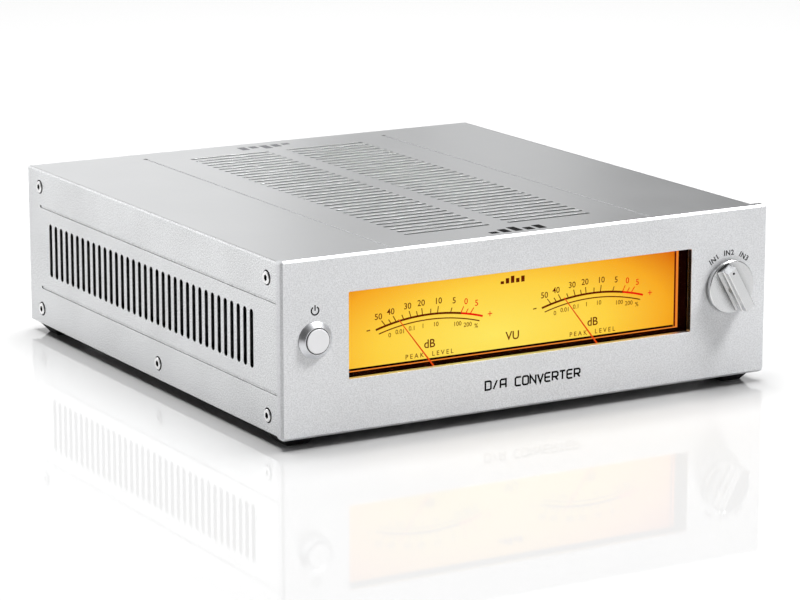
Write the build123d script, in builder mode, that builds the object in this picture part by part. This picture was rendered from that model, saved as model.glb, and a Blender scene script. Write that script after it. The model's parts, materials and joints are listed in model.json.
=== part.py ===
"""Desktop digital-to-analogue converter: an aluminium case with twin needle meters.

Frame: millimetres, +Z up, +X to the right seen from the front, the front face looks along -Y.
The origin is the middle of the footprint, on the surface that the feet stand on.
"""
import os
from math import cos, radians, sin

from build123d import *

os.makedirs("parts", exist_ok=True)

# ---------------------------------------------------------------- driving dimensions
CASE_DEPTH = 257.6        # front face of the front panel to the rear face of the rear panel
PANEL_W, PANEL_H, PANEL_T = 245.0, 76.5, 4.2
PANEL_GAP = 4.4           # lower edge of the front panel above the table
PANEL_CORNER, PANEL_CHAMFER = 1.8, 1.0
BODY_W = 242.0            # over the side plates
BODY_BOTTOM, BODY_TOP = 5.2, 79.4
SIDE_T, COVER_T, TRAY_T, REAR_T = 3.0, 2.0, 1.5, 2.0
SHELF_W = 2.1             # shelf in a side plate's top edge, which carries the cover
SEAM = 0.25               # visible gap between cover and side plate

VENT_PITCH, VENT_COUNT = 6.0, 35
SIDE_VENT_H, SIDE_VENT_W, SIDE_VENT_Z = 25.4, 3.1, 42.55
TOP_VENT_L, TOP_VENT_W, TOP_VENT_X = 42.6, 2.5, 25.95
VENT_START = 29.3         # first vent behind the front face
GROOVE_W, GROOVE_DEPTH = 1.2, 0.35
SIDE_GROOVES_Z = (23.0, 62.05)
TOP_GROOVE_X, GROOVE_END = 65.5, 13.0

CONTROL_Z = 46.1          # button, window and knob share one centre line
WINDOW_X, WINDOW_W, WINDOW_H, WINDOW_CORNER = -4.35, 172.7, 37.4, 0.6
GLASS_T, GLASS_MARGIN, GLASS_FIT = 1.5, 2.0, 0.1
METER_SPACING, PIVOT_Z, NEEDLE_LENGTH = 82.7, 25.3, 30.0
NEEDLE_REST = 37.8        # degrees left of upright
NEEDLE_DEPTH = 4.9        # plane of the pointers behind the front face
DIAL_DEPTH, DIAL_T = 10.3, 0.8
GUIDE_T, REFLECTOR_T = 3.0, 2.0

BUTTON_X, BUTTON_R, BUTTON_PROUD, BUTTON_HOLE_R = -106.6, 5.3, 2.9, 6.4
RING_R, RING_RIM_R, RING_BORE_R, RING_PROUD = 7.9, 5.95, 5.6, 2.4
KNOB_X, KNOB_R, KNOB_PROUD, KNOB_REST = 102.0, 11.9, 10.3, 30.0
KNOB_GAP, KNOB_DISC, KNOB_HOLE_R = 0.8, 3.0, 3.4
BAR_W, BAR_BASE_W, BAR_L = 4.9, 7.4, 20.9

FOOT_X, FOOT_Y, FOOT_BASE, FOOT_TOP = 110.75, 115.4, 10.0, 18.4
BOARD_DEPTH, BOARD_T = 34.0, 1.6     # front control board behind the front face
MAIN_BOARD_Z = 12.7
REAR_PROUD = KNOB_PROUD   # the phono sockets stand out as far behind as the knob does in front

FRONT_Y, REAR_Y = -CASE_DEPTH / 2, CASE_DEPTH / 2
INNER_X = BODY_W / 2 - SIDE_T
VENT_Y = FRONT_Y + VENT_START + VENT_PITCH * (VENT_COUNT - 1) / 2
BODY_H = BODY_TOP - BODY_BOTTOM
BODY_MID_Z = (BODY_TOP + BODY_BOTTOM) / 2
BODY_L = CASE_DEPTH - PANEL_T
BODY_MID_Y = FRONT_Y + PANEL_T + BODY_L / 2
GROOVE_L = BODY_L - GROOVE_END
GROOVE_MID_Y = FRONT_Y + PANEL_T + GROOVE_L / 2
METERS_X = {"left": WINDOW_X - METER_SPACING / 2, "right": WINDOW_X + METER_SPACING / 2}
LOW = (Align.CENTER, Align.CENTER, Align.MIN)
HIGH = (Align.CENTER, Align.CENTER, Align.MAX)

# metric screws: radius of head, height of head, key width, radius of thread
M3_CAP = (2.75, 2.0, 2.5, 1.45)
M3_BUTTON = (2.75, 1.6, 2.0, 1.45)
M2_BUTTON = (1.9, 1.2, 1.3, 0.95)
THREAD_CLEAR = 0.05
SCREW_HOLE_R = 1.7        # clearance hole for an M3 screw
M2_HOLE_R = 1.15


def behind_front(depth):
    """Plane at a depth behind the front face, looking out of the front: negative extrusions go deeper."""
    return Plane.XZ.offset(CASE_DEPTH / 2 - depth)


def behind_rear(depth):
    """Plane at a depth inside the rear face, facing forward: positive extrusions go into the case."""
    return Plane.XZ.offset(depth - CASE_DEPTH / 2)


def screw(size, length):
    """A hexagon-socket screw: head upward from Z = 0, thread downward."""
    head_r, head_h, key, thread_r = size
    with BuildPart() as piece:
        Cylinder(head_r, head_h, align=LOW)
        chamfer(piece.faces().sort_by(Axis.Z)[-1].edges(), 0.25)
        with BuildSketch(Plane.XY.offset(head_h)):
            RegularPolygon(key / 2, 6, major_radius=False)
        extrude(amount=-0.65 * head_h, mode=Mode.SUBTRACT)
        Cylinder(thread_r, length, align=HIGH)
    return piece.part


def box(low, high):
    """A block between two corners, added to the open part."""
    size = [b - a for a, b in zip(low, high)]
    middle = [(a + b) / 2 for a, b in zip(low, high)]
    with Locations(tuple(middle)):
        Box(*size)


# ---------------------------------------------------------------- front panel
FRONT_SCREWS_X, FRONT_SCREWS_Z = (-70.0, 0.0, 70.0), 12.0
FRAME_LEFT, FRAME_RIGHT = -99.2, 90.6
FRAME_BOTTOM, FRAME_TOP = PIVOT_Z + 0.95, 71.5
FRAME_SCREW_INSET, FRAME_SCREWS_Z = 3.2, (31.0, 66.0)
FRAME_SCREWS = [
    (x, z) for x in (FRAME_LEFT + FRAME_SCREW_INSET, FRAME_RIGHT - FRAME_SCREW_INSET) for z in FRAME_SCREWS_Z
]
STANDOFFS = [(x, z) for x in (-112.5, 112.5) for z in (26.0, 67.0)]
SCREW_DEPTH, SCREW_END_GAP = 2.6, 0.4

with BuildPart() as front_panel:
    with BuildSketch(behind_front(0)):
        with Locations((0, PANEL_GAP + PANEL_H / 2)):
            RectangleRounded(PANEL_W, PANEL_H, PANEL_CORNER)
    extrude(amount=-PANEL_T)
    chamfer(front_panel.faces().sort_by(Axis.Y)[0].edges(), PANEL_CHAMFER)
    with BuildSketch(behind_front(0)):
        with Locations((WINDOW_X, CONTROL_Z)):
            RectangleRounded(WINDOW_W, WINDOW_H, WINDOW_CORNER)
        with Locations((BUTTON_X, CONTROL_Z)):
            Circle(BUTTON_HOLE_R)
        with Locations((KNOB_X, CONTROL_Z)):
            Circle(KNOB_HOLE_R)
    extrude(amount=-PANEL_T, mode=Mode.SUBTRACT)
    with BuildSketch(behind_front(PANEL_T)):
        with Locations((WINDOW_X, CONTROL_Z)):
            RectangleRounded(WINDOW_W + 2 * GLASS_MARGIN, WINDOW_H + 2 * GLASS_MARGIN, WINDOW_CORNER)
    extrude(amount=GLASS_T, mode=Mode.SUBTRACT)
    with BuildSketch(behind_front(PANEL_T)):
        with Locations(*[(x, FRONT_SCREWS_Z) for x in FRONT_SCREWS_X]):
            Circle(M3_CAP[3] + THREAD_CLEAR)
        with Locations(*FRAME_SCREWS, *STANDOFFS):
            Circle(M2_BUTTON[3] + THREAD_CLEAR)
    extrude(amount=SCREW_DEPTH, mode=Mode.SUBTRACT)
front_panel.part.label = "front_panel"
export_step(front_panel.part, "parts/front_panel.step")

with BuildPart() as window_glass:
    with BuildSketch(behind_front(PANEL_T)):
        with Locations((WINDOW_X, CONTROL_Z)):
            RectangleRounded(
                WINDOW_W + 2 * (GLASS_MARGIN - GLASS_FIT),
                WINDOW_H + 2 * (GLASS_MARGIN - GLASS_FIT),
                WINDOW_CORNER,
            )
    extrude(amount=GLASS_T)
window_glass.part.label = "window_glass"
export_step(window_glass.part, "parts/window_glass.step")

# ---------------------------------------------------------------- case plates
TOP_SCREW_Z, LOW_SCREW_Z = 71.3, 12.4
FRONT_SCREW_Y, MIDDLE_SCREW_Y, REAR_SCREW_Y = FRONT_Y + 15.3, -9.2, REAR_Y - 12.7
SIDE_SCREWS = [
    (FRONT_SCREW_Y, TOP_SCREW_Z),
    (REAR_SCREW_Y, TOP_SCREW_Z),
    (FRONT_SCREW_Y, LOW_SCREW_Z),
    (MIDDLE_SCREW_Y, LOW_SCREW_Z),
    (REAR_SCREW_Y, LOW_SCREW_Z),
]
HEAD_RECESS_R, HEAD_RECESS, TOP_EDGE_CHAMFER = 3.3, 1.4, 0.6
COVER_FLANGE, TRAY_FLANGE = 12.0, 12.0
REAR_SCREWS_TOP_X, REAR_SCREWS_LOW_X = (-100.0, 100.0), (-105.0, 0.0, 105.0)
SCREW_LENGTH, SHORT_SCREW_LENGTH = 5.6, 5.0

for side, name in ((-1, "left_side_plate"), (1, "right_side_plate")):
    outer = side * BODY_W / 2
    outer_plane = Plane(origin=(outer, 0, 0), x_dir=(0, side, 0), z_dir=(side, 0, 0))
    with BuildPart() as side_plate:
        with BuildSketch(outer_plane):
            with Locations((side * BODY_MID_Y, BODY_MID_Z)):
                Rectangle(BODY_L, BODY_H)
        extrude(amount=-SIDE_T)
        with Locations((outer - side * (SIDE_T - SHELF_W / 2), BODY_MID_Y, BODY_TOP)):
            Box(SHELF_W, BODY_L, 2 * COVER_T, mode=Mode.SUBTRACT)
        top_edge = side_plate.edges().filter_by(Axis.Y).group_by(Axis.Z)[-1].sort_by(Axis.X)
        chamfer(top_edge[0 if side < 0 else -1], TOP_EDGE_CHAMFER)
        with BuildSketch(outer_plane):
            with Locations((side * VENT_Y, SIDE_VENT_Z)):
                with GridLocations(VENT_PITCH, 1, VENT_COUNT, 1):
                    SlotOverall(SIDE_VENT_H, SIDE_VENT_W, rotation=90)
            with Locations(*[(side * y, z) for y, z in SIDE_SCREWS]):
                Circle(SCREW_HOLE_R)
        extrude(amount=-SIDE_T, mode=Mode.SUBTRACT)
        with BuildSketch(outer_plane):
            with Locations(*[(side * y, z) for y, z in SIDE_SCREWS]):
                Circle(HEAD_RECESS_R)
        extrude(amount=-HEAD_RECESS, mode=Mode.SUBTRACT)
        with BuildSketch(outer_plane):
            with Locations(*[(side * GROOVE_MID_Y, z) for z in SIDE_GROOVES_Z]):
                Rectangle(GROOVE_L, GROOVE_W)
        extrude(amount=-GROOVE_DEPTH, mode=Mode.SUBTRACT)
    side_plate.part.label = name
    export_step(side_plate.part, f"parts/{name}.step")

COVER_X = BODY_W / 2 - (SIDE_T - SHELF_W) - SEAM
with BuildPart() as top_cover:
    with BuildSketch(Plane.XY.offset(BODY_TOP)):
        with Locations((0, BODY_MID_Y)):
            Rectangle(2 * COVER_X, BODY_L)
    extrude(amount=-COVER_T)
    with BuildSketch(Plane.XY.offset(BODY_TOP)):
        with Locations((0, VENT_Y)):
            with GridLocations(2 * TOP_VENT_X, VENT_PITCH, 2, VENT_COUNT):
                SlotOverall(TOP_VENT_L, TOP_VENT_W)
    extrude(amount=-COVER_T, mode=Mode.SUBTRACT)
    with BuildSketch(Plane.XY.offset(BODY_TOP)):
        with Locations((-TOP_GROOVE_X, GROOVE_MID_Y), (TOP_GROOVE_X, GROOVE_MID_Y)):
            Rectangle(GROOVE_W, GROOVE_L)
        with Locations((-TOP_GROOVE_X, REAR_Y - GROOVE_END), (TOP_GROOVE_X, REAR_Y - GROOVE_END)):
            Circle(GROOVE_W)
    extrude(amount=-GROOVE_DEPTH, mode=Mode.SUBTRACT)
    for side in (-1, 1):
        with Locations((side * (INNER_X - COVER_T / 2), BODY_MID_Y, BODY_TOP - COVER_T - COVER_FLANGE / 2)):
            Box(COVER_T, BODY_L - 2 * REAR_T, COVER_FLANGE)
    with Locations((0, REAR_Y - REAR_T - TRAY_T / 2, BODY_TOP - COVER_T - COVER_FLANGE / 2)):
        Box(2 * (INNER_X - COVER_T), TRAY_T, COVER_FLANGE)
    with BuildSketch(Plane.YZ.offset(-BODY_W / 2)):
        with Locations(*SIDE_SCREWS[:2]):
            Circle(M3_CAP[3] + THREAD_CLEAR)
    extrude(amount=BODY_W, mode=Mode.SUBTRACT)
    with BuildSketch(behind_rear(0)):
        with Locations(*[(x, TOP_SCREW_Z) for x in REAR_SCREWS_TOP_X]):
            Circle(M3_CAP[3] + THREAD_CLEAR)
    extrude(amount=2 * TRAY_T + REAR_T, mode=Mode.SUBTRACT)
top_cover.part.label = "top_cover"
export_step(top_cover.part, "parts/top_cover.step")

TRAY_L = BODY_L - REAR_T
TRAY_MID_Y = FRONT_Y + PANEL_T + TRAY_L / 2
TRAY_TOP = BODY_BOTTOM + TRAY_T
FEET = [(x, y) for x in (-FOOT_X, FOOT_X) for y in (-FOOT_Y, FOOT_Y)]
TOROID_X, TOROID_Y, TOROID_R, TOROID_BORE, TOROID_H = -66.0, 32.0, 41.0, 13.0, 34.0
TOROID_BOLT_R = 2.5
BOARD_SCREW_INSET = 5.0
POWER_BOARD = (-110.0, -84.0, -34.0, -18.0)
MAIN_BOARD = (-18.0, -84.0, 112.0, 104.0)
BOARD_POSTS = [
    (x, y)
    for low_x, low_y, high_x, high_y in (POWER_BOARD, MAIN_BOARD)
    for x in (low_x + BOARD_SCREW_INSET, high_x - BOARD_SCREW_INSET)
    for y in (low_y + BOARD_SCREW_INSET, high_y - BOARD_SCREW_INSET)
]
BOTTOM_VENTS_X, BOTTOM_VENTS_Y, BOTTOM_VENT_L, BOTTOM_VENT_COUNT = 47.0, 10.0, 80.0, 9

with BuildPart() as bottom_plate:
    with BuildSketch(Plane.XY.offset(BODY_BOTTOM)):
        with Locations((0, TRAY_MID_Y)):
            Rectangle(2 * INNER_X, TRAY_L)
    extrude(amount=TRAY_T)
    with Locations((0, TRAY_MID_Y, BODY_BOTTOM + (TRAY_T + TRAY_FLANGE) / 2)):
        for side in (-1, 1):
            with Locations((side * (INNER_X - TRAY_T / 2), 0, 0)):
                Box(TRAY_T, TRAY_L, TRAY_T + TRAY_FLANGE)
            with Locations((0, side * (TRAY_L - TRAY_T) / 2, 0)):
                Box(2 * INNER_X, TRAY_T, TRAY_T + TRAY_FLANGE)
    with BuildSketch(Plane.YZ.offset(-BODY_W / 2)):
        with Locations(*SIDE_SCREWS[2:]):
            Circle(M3_CAP[3] + THREAD_CLEAR)
    extrude(amount=BODY_W, mode=Mode.SUBTRACT)
    with BuildSketch(behind_front(0)):
        with Locations(*[(x, FRONT_SCREWS_Z) for x in FRONT_SCREWS_X]):
            Circle(SCREW_HOLE_R)
    extrude(amount=-PANEL_T - 2 * TRAY_T, mode=Mode.SUBTRACT)
    with BuildSketch(behind_rear(0)):
        with Locations(*[(x, LOW_SCREW_Z) for x in REAR_SCREWS_LOW_X]):
            Circle(M3_CAP[3] + THREAD_CLEAR)
    extrude(amount=2 * TRAY_T + REAR_T, mode=Mode.SUBTRACT)
    with BuildSketch(Plane.XY.offset(BODY_BOTTOM)):
        with Locations(*FEET, *BOARD_POSTS):
            Circle(M3_CAP[3] + THREAD_CLEAR)
        with Locations((TOROID_X, TOROID_Y)):
            Circle(TOROID_BOLT_R + THREAD_CLEAR)
        with Locations((BOTTOM_VENTS_X, BOTTOM_VENTS_Y)):
            with GridLocations(1, 2 * VENT_PITCH, 1, BOTTOM_VENT_COUNT):
                SlotOverall(BOTTOM_VENT_L, SIDE_VENT_W)
    extrude(amount=TRAY_T, mode=Mode.SUBTRACT)
bottom_plate.part.label = "bottom_plate"
export_step(bottom_plate.part, "parts/bottom_plate.step")

# ---------------------------------------------------------------- rear sockets: places
INLET_X, INLET_Z, INLET_W, INLET_H = -88.0, 42.0, 27.0, 19.6
ROCKER_X, ROCKER_Z, ROCKER_FRAME_W, ROCKER_FRAME_H = -54.0, 42.0, 15.0, 23.0
XLR_Z, XLR_R = 42.0, 11.8
XLRS_X = {"left_balanced_output": -19.0, "right_balanced_output": 12.0}
XLR_FLANGE_T, XLR_SCREW = 2.0, (9.5, -12.0)
XLR_SCREWS = [
    (x + side * XLR_SCREW[0], XLR_Z + side * XLR_SCREW[1]) for x in XLRS_X.values() for side in (-1, 1)
]
PHONOS = {
    "left_output_jack": (38.0, 53.0),
    "right_output_jack": (38.0, 31.0),
    "coaxial_input_jack": (61.0, 31.0),
}
PHONO_BUSH_R, PHONO_R, PHONO_WALL_R, PHONO_PIN_R = 5.4, 4.15, 3.4, 1.6
OPTICAL_X, OPTICAL_Z, OPTICAL_W, OPTICAL_H = 61.0, 53.0, 13.6, 12.4
USB_X, USB_Z, USB_W, USB_H = 90.0, 31.0, 12.0, 11.0
CUT_FIT, ROCKER_CUT_INSET = 0.15, 2.0

with BuildPart() as rear_panel:
    with BuildSketch(behind_rear(0)):
        with Locations((0, (BODY_BOTTOM + BODY_TOP - COVER_T) / 2)):
            Rectangle(2 * INNER_X, BODY_H - COVER_T)
        with Locations((INLET_X, INLET_Z)):
            Rectangle(INLET_W + 2 * CUT_FIT, INLET_H + 2 * CUT_FIT, mode=Mode.SUBTRACT)
        with Locations((ROCKER_X, ROCKER_Z)):
            Rectangle(
                ROCKER_FRAME_W - ROCKER_CUT_INSET, ROCKER_FRAME_H - ROCKER_CUT_INSET, mode=Mode.SUBTRACT
            )
        with Locations(*[(x, XLR_Z) for x in XLRS_X.values()]):
            Circle(XLR_R + CUT_FIT, mode=Mode.SUBTRACT)
        with Locations(*PHONOS.values()):
            Circle(PHONO_BUSH_R + CUT_FIT, mode=Mode.SUBTRACT)
        with Locations((OPTICAL_X, OPTICAL_Z)):
            Rectangle(OPTICAL_W + 2 * CUT_FIT, OPTICAL_H + 2 * CUT_FIT, mode=Mode.SUBTRACT)
        with Locations((USB_X, USB_Z)):
            Rectangle(USB_W + 2 * CUT_FIT, USB_H + 2 * CUT_FIT, mode=Mode.SUBTRACT)
        with Locations(*[(x, TOP_SCREW_Z) for x in REAR_SCREWS_TOP_X]):
            Circle(SCREW_HOLE_R, mode=Mode.SUBTRACT)
        with Locations(*[(x, LOW_SCREW_Z) for x in REAR_SCREWS_LOW_X]):
            Circle(SCREW_HOLE_R, mode=Mode.SUBTRACT)
        with Locations(*XLR_SCREWS):
            Circle(M3_CAP[3] + THREAD_CLEAR, mode=Mode.SUBTRACT)
    extrude(amount=REAR_T)
rear_panel.part.label = "rear_panel"
export_step(rear_panel.part, "parts/rear_panel.step")

# ---------------------------------------------------------------- case screws and feet
m3_cap = screw(M3_CAP, SCREW_LENGTH)
m3_button = screw(M3_BUTTON, SCREW_LENGTH)
m3_short = screw(M3_BUTTON, SHORT_SCREW_LENGTH)

with BuildPart() as side_screws:
    for side in (-1, 1):
        for y, z in SIDE_SCREWS:
            with Locations(Location((side * (BODY_W / 2 - HEAD_RECESS), y, z), (0, 90 * side, 0))):
                add(m3_cap)
side_screws.part.label = "side_screws"
export_step(side_screws.part, "parts/side_screws.step")

with BuildPart() as rear_screws:
    for x in REAR_SCREWS_TOP_X:
        with Locations(Location((x, REAR_Y, TOP_SCREW_Z), (-90, 0, 0))):
            add(m3_button)
    for x in REAR_SCREWS_LOW_X:
        with Locations(Location((x, REAR_Y, LOW_SCREW_Z), (-90, 0, 0))):
            add(m3_button)
    for x, z in XLR_SCREWS:
        with Locations(Location((x, REAR_Y + XLR_FLANGE_T, z), (-90, 0, 0))):
            add(m3_button)
rear_screws.part.label = "rear_screws"
export_step(rear_screws.part, "parts/rear_screws.step")

panel_screw = screw(M3_CAP, TRAY_T + SCREW_DEPTH - SCREW_END_GAP)
with BuildPart() as front_panel_screws:
    for x in FRONT_SCREWS_X:
        with Locations(Location((x, FRONT_Y + PANEL_T + TRAY_T, FRONT_SCREWS_Z), (-90, 0, 0))):
            add(panel_screw)
front_panel_screws.part.label = "front_panel_screws"
export_step(front_panel_screws.part, "parts/front_panel_screws.step")

FOOT_RECESS_R, FOOT_RECESS, FOOT_BASE_CORNER, FOOT_TOP_CORNER = 3.3, 2.6, 0.8, 1.2
with BuildPart() as foot:
    with BuildSketch():
        RectangleRounded(FOOT_BASE, FOOT_BASE, FOOT_BASE_CORNER)
    with BuildSketch(Plane.XY.offset(BODY_BOTTOM)):
        RectangleRounded(FOOT_TOP, FOOT_TOP, FOOT_TOP_CORNER)
    loft()
    Cylinder(FOOT_RECESS_R, FOOT_RECESS, align=LOW, mode=Mode.SUBTRACT)
    Cylinder(SCREW_HOLE_R, BODY_BOTTOM, align=LOW, mode=Mode.SUBTRACT)

with BuildPart() as feet:
    with Locations(*[(x, y, 0) for x, y in FEET]):
        add(foot.part)
feet.part.label = "feet"
export_step(feet.part, "parts/feet.step")

with BuildPart() as foot_screws:
    for x, y in FEET:
        with Locations(Location((x, y, FOOT_RECESS), (180, 0, 0))):
            add(m3_short)
foot_screws.part.label = "foot_screws"
export_step(foot_screws.part, "parts/foot_screws.step")

# ---------------------------------------------------------------- meter window: frame, dial, light
POCKET_MARGIN = 3.0
POCKET_BOTTOM = FRAME_BOTTOM + 0.6
POCKET_LEFT = WINDOW_X - WINDOW_W / 2 - POCKET_MARGIN
POCKET_RIGHT = WINDOW_X + WINDOW_W / 2 + POCKET_MARGIN
POCKET_TOP = 69.6
GUIDE_TOP = 67.2
POCKET_MID = ((POCKET_LEFT + POCKET_RIGHT) / 2, (POCKET_BOTTOM + POCKET_TOP) / 2)
POCKET_SIZE = (POCKET_RIGHT - POCKET_LEFT, POCKET_TOP - POCKET_BOTTOM)
FRAME_MID = ((FRAME_LEFT + FRAME_RIGHT) / 2, (FRAME_BOTTOM + FRAME_TOP) / 2)
FRAME_SIZE = (FRAME_RIGHT - FRAME_LEFT, FRAME_TOP - FRAME_BOTTOM)
FRAME_BACK = DIAL_DEPTH + DIAL_T
REFLECTOR_BACK = FRAME_BACK + GUIDE_T + REFLECTOR_T
SHEET_FIT = 0.1
HUB_NOTCH, HUB_NOTCH_DEEP = (11.0, 8.0), 2.0

with BuildPart() as light_frame:
    with BuildSketch(behind_front(PANEL_T)):
        with Locations(FRAME_MID):
            Rectangle(*FRAME_SIZE)
        with Locations((WINDOW_X, CONTROL_Z)):
            Rectangle(WINDOW_W, WINDOW_H, mode=Mode.SUBTRACT)
        with Locations(*FRAME_SCREWS):
            Circle(M2_HOLE_R, mode=Mode.SUBTRACT)
    extrude(amount=-(FRAME_BACK - PANEL_T))
    with BuildSketch(behind_front(FRAME_BACK)):
        with Locations(POCKET_MID):
            Rectangle(*POCKET_SIZE)
    extrude(amount=DIAL_T, mode=Mode.SUBTRACT)
    with BuildSketch(behind_front(PANEL_T)):
        with Locations(*[(x, PIVOT_Z) for x in METERS_X.values()]):
            Rectangle(*HUB_NOTCH)
    extrude(amount=-HUB_NOTCH_DEEP, mode=Mode.SUBTRACT)
light_frame.part.label = "light_frame"
export_step(light_frame.part, "parts/light_frame.step")

with BuildPart() as dial_plate:
    with BuildSketch(behind_front(DIAL_DEPTH)):
        with Locations(POCKET_MID):
            Rectangle(POCKET_SIZE[0] - 2 * SHEET_FIT, POCKET_SIZE[1] - 2 * SHEET_FIT)
    extrude(amount=-DIAL_T)
dial_plate.part.label = "dial_plate"
export_step(dial_plate.part, "parts/dial_plate.step")

with BuildPart() as reflector:
    with BuildSketch(behind_front(FRAME_BACK)):
        with Locations(FRAME_MID):
            Rectangle(*FRAME_SIZE)
        with Locations(*FRAME_SCREWS):
            Circle(M2_HOLE_R, mode=Mode.SUBTRACT)
    extrude(amount=-(GUIDE_T + REFLECTOR_T))
    with BuildSketch(behind_front(FRAME_BACK)):
        with Locations(POCKET_MID):
            Rectangle(*POCKET_SIZE)
    extrude(amount=-GUIDE_T, mode=Mode.SUBTRACT)
reflector.part.label = "reflector"
export_step(reflector.part, "parts/reflector.step")

with BuildPart() as light_guide:
    box(
        (POCKET_LEFT + SHEET_FIT, FRONT_Y + FRAME_BACK, POCKET_BOTTOM + SHEET_FIT),
        (POCKET_RIGHT - SHEET_FIT, FRONT_Y + FRAME_BACK + GUIDE_T - SHEET_FIT, GUIDE_TOP),
    )
light_guide.part.label = "light_guide"
export_step(light_guide.part, "parts/light_guide.step")

LED_COUNT, LED_PITCH, LED_SIZE, LED_H = 16, 10.6, (3.5, 2.5), 0.9
LED_BOARD_BOTTOM, LED_BOARD_INSET = POCKET_TOP - 1.1, 1.0
with BuildPart() as led_board:
    box(
        (POCKET_LEFT + LED_BOARD_INSET, FRONT_Y + FRAME_BACK, LED_BOARD_BOTTOM),
        (POCKET_RIGHT - LED_BOARD_INSET, FRONT_Y + FRAME_BACK + GUIDE_T - SHEET_FIT, POCKET_TOP - SHEET_FIT),
    )
led_board.part.label = "led_board"
export_step(led_board.part, "parts/led_board.step")

with BuildPart() as leds:
    with BuildSketch(Plane.XY.offset(LED_BOARD_BOTTOM)):
        with Locations((POCKET_MID[0], FRONT_Y + FRAME_BACK + GUIDE_T / 2)):
            with GridLocations(LED_PITCH, 1, LED_COUNT, 1):
                Rectangle(*LED_SIZE)
    extrude(amount=-LED_H)
leds.part.label = "leds"
export_step(leds.part, "parts/leds.step")

# ---------------------------------------------------------------- meter movements and needles
BRACKET_T, BRACKET_MID_Z, BRACKET_H = 1.4, 42.5, 54.0
BRACKET_WINDOW_Z, BRACKET_WINDOW = 54.0, (120.0, 20.0)
MAGNET_FRONT = REFLECTOR_BACK + BRACKET_T
MAGNET_R, MAGNET_BORE_R, MAGNET_L, CORE_R, CORE_WEB = 8.0, 5.8, 13.0, 3.4, 1.6
BRIDGE_T, BRIDGE_W, BRIDGE_LAP = 1.2, 4.0, 1.0
MAGNET_BACK = MAGNET_FRONT + MAGNET_L
SHAFT_R, SHAFT_FIT = 0.6, 0.05
COIL_R, COIL_T, COIL_W = 4.6, 0.8, 1.6
CORE_INSET, COIL_INSET = 3.0, 1.6
METER_HOLE_R = 1.6
HUB_R, POINTER_BASE, POINTER_TIP, POINTER_T = 1.5, 0.34, 0.15, 0.4
TAIL_W, TAIL_L, TAIL_DROP = 1.8, 4.0, 2.6   # the counterweight below the hub

with BuildPart() as meter_bracket:
    with BuildSketch(behind_front(REFLECTOR_BACK)):
        with Locations((FRAME_MID[0], BRACKET_MID_Z)):
            Rectangle(FRAME_SIZE[0], BRACKET_H)
        with Locations((FRAME_MID[0], BRACKET_WINDOW_Z)):
            Rectangle(*BRACKET_WINDOW, mode=Mode.SUBTRACT)
        with Locations(*FRAME_SCREWS):
            Circle(M2_HOLE_R, mode=Mode.SUBTRACT)
        with Locations(*[(x, PIVOT_Z) for x in METERS_X.values()]):
            Circle(METER_HOLE_R, mode=Mode.SUBTRACT)
    extrude(amount=-BRACKET_T)
meter_bracket.part.label = "meter_bracket"
export_step(meter_bracket.part, "parts/meter_bracket.step")

frame_screw = screw(M2_BUTTON, REFLECTOR_BACK + BRACKET_T - PANEL_T + SCREW_DEPTH - SCREW_END_GAP)
with BuildPart() as light_frame_screws:
    for x, z in FRAME_SCREWS:
        with Locations(Location((x, FRONT_Y + REFLECTOR_BACK + BRACKET_T, z), (-90, 0, 0))):
            add(frame_screw)
light_frame_screws.part.label = "light_frame_screws"
export_step(light_frame_screws.part, "parts/light_frame_screws.step")

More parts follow.
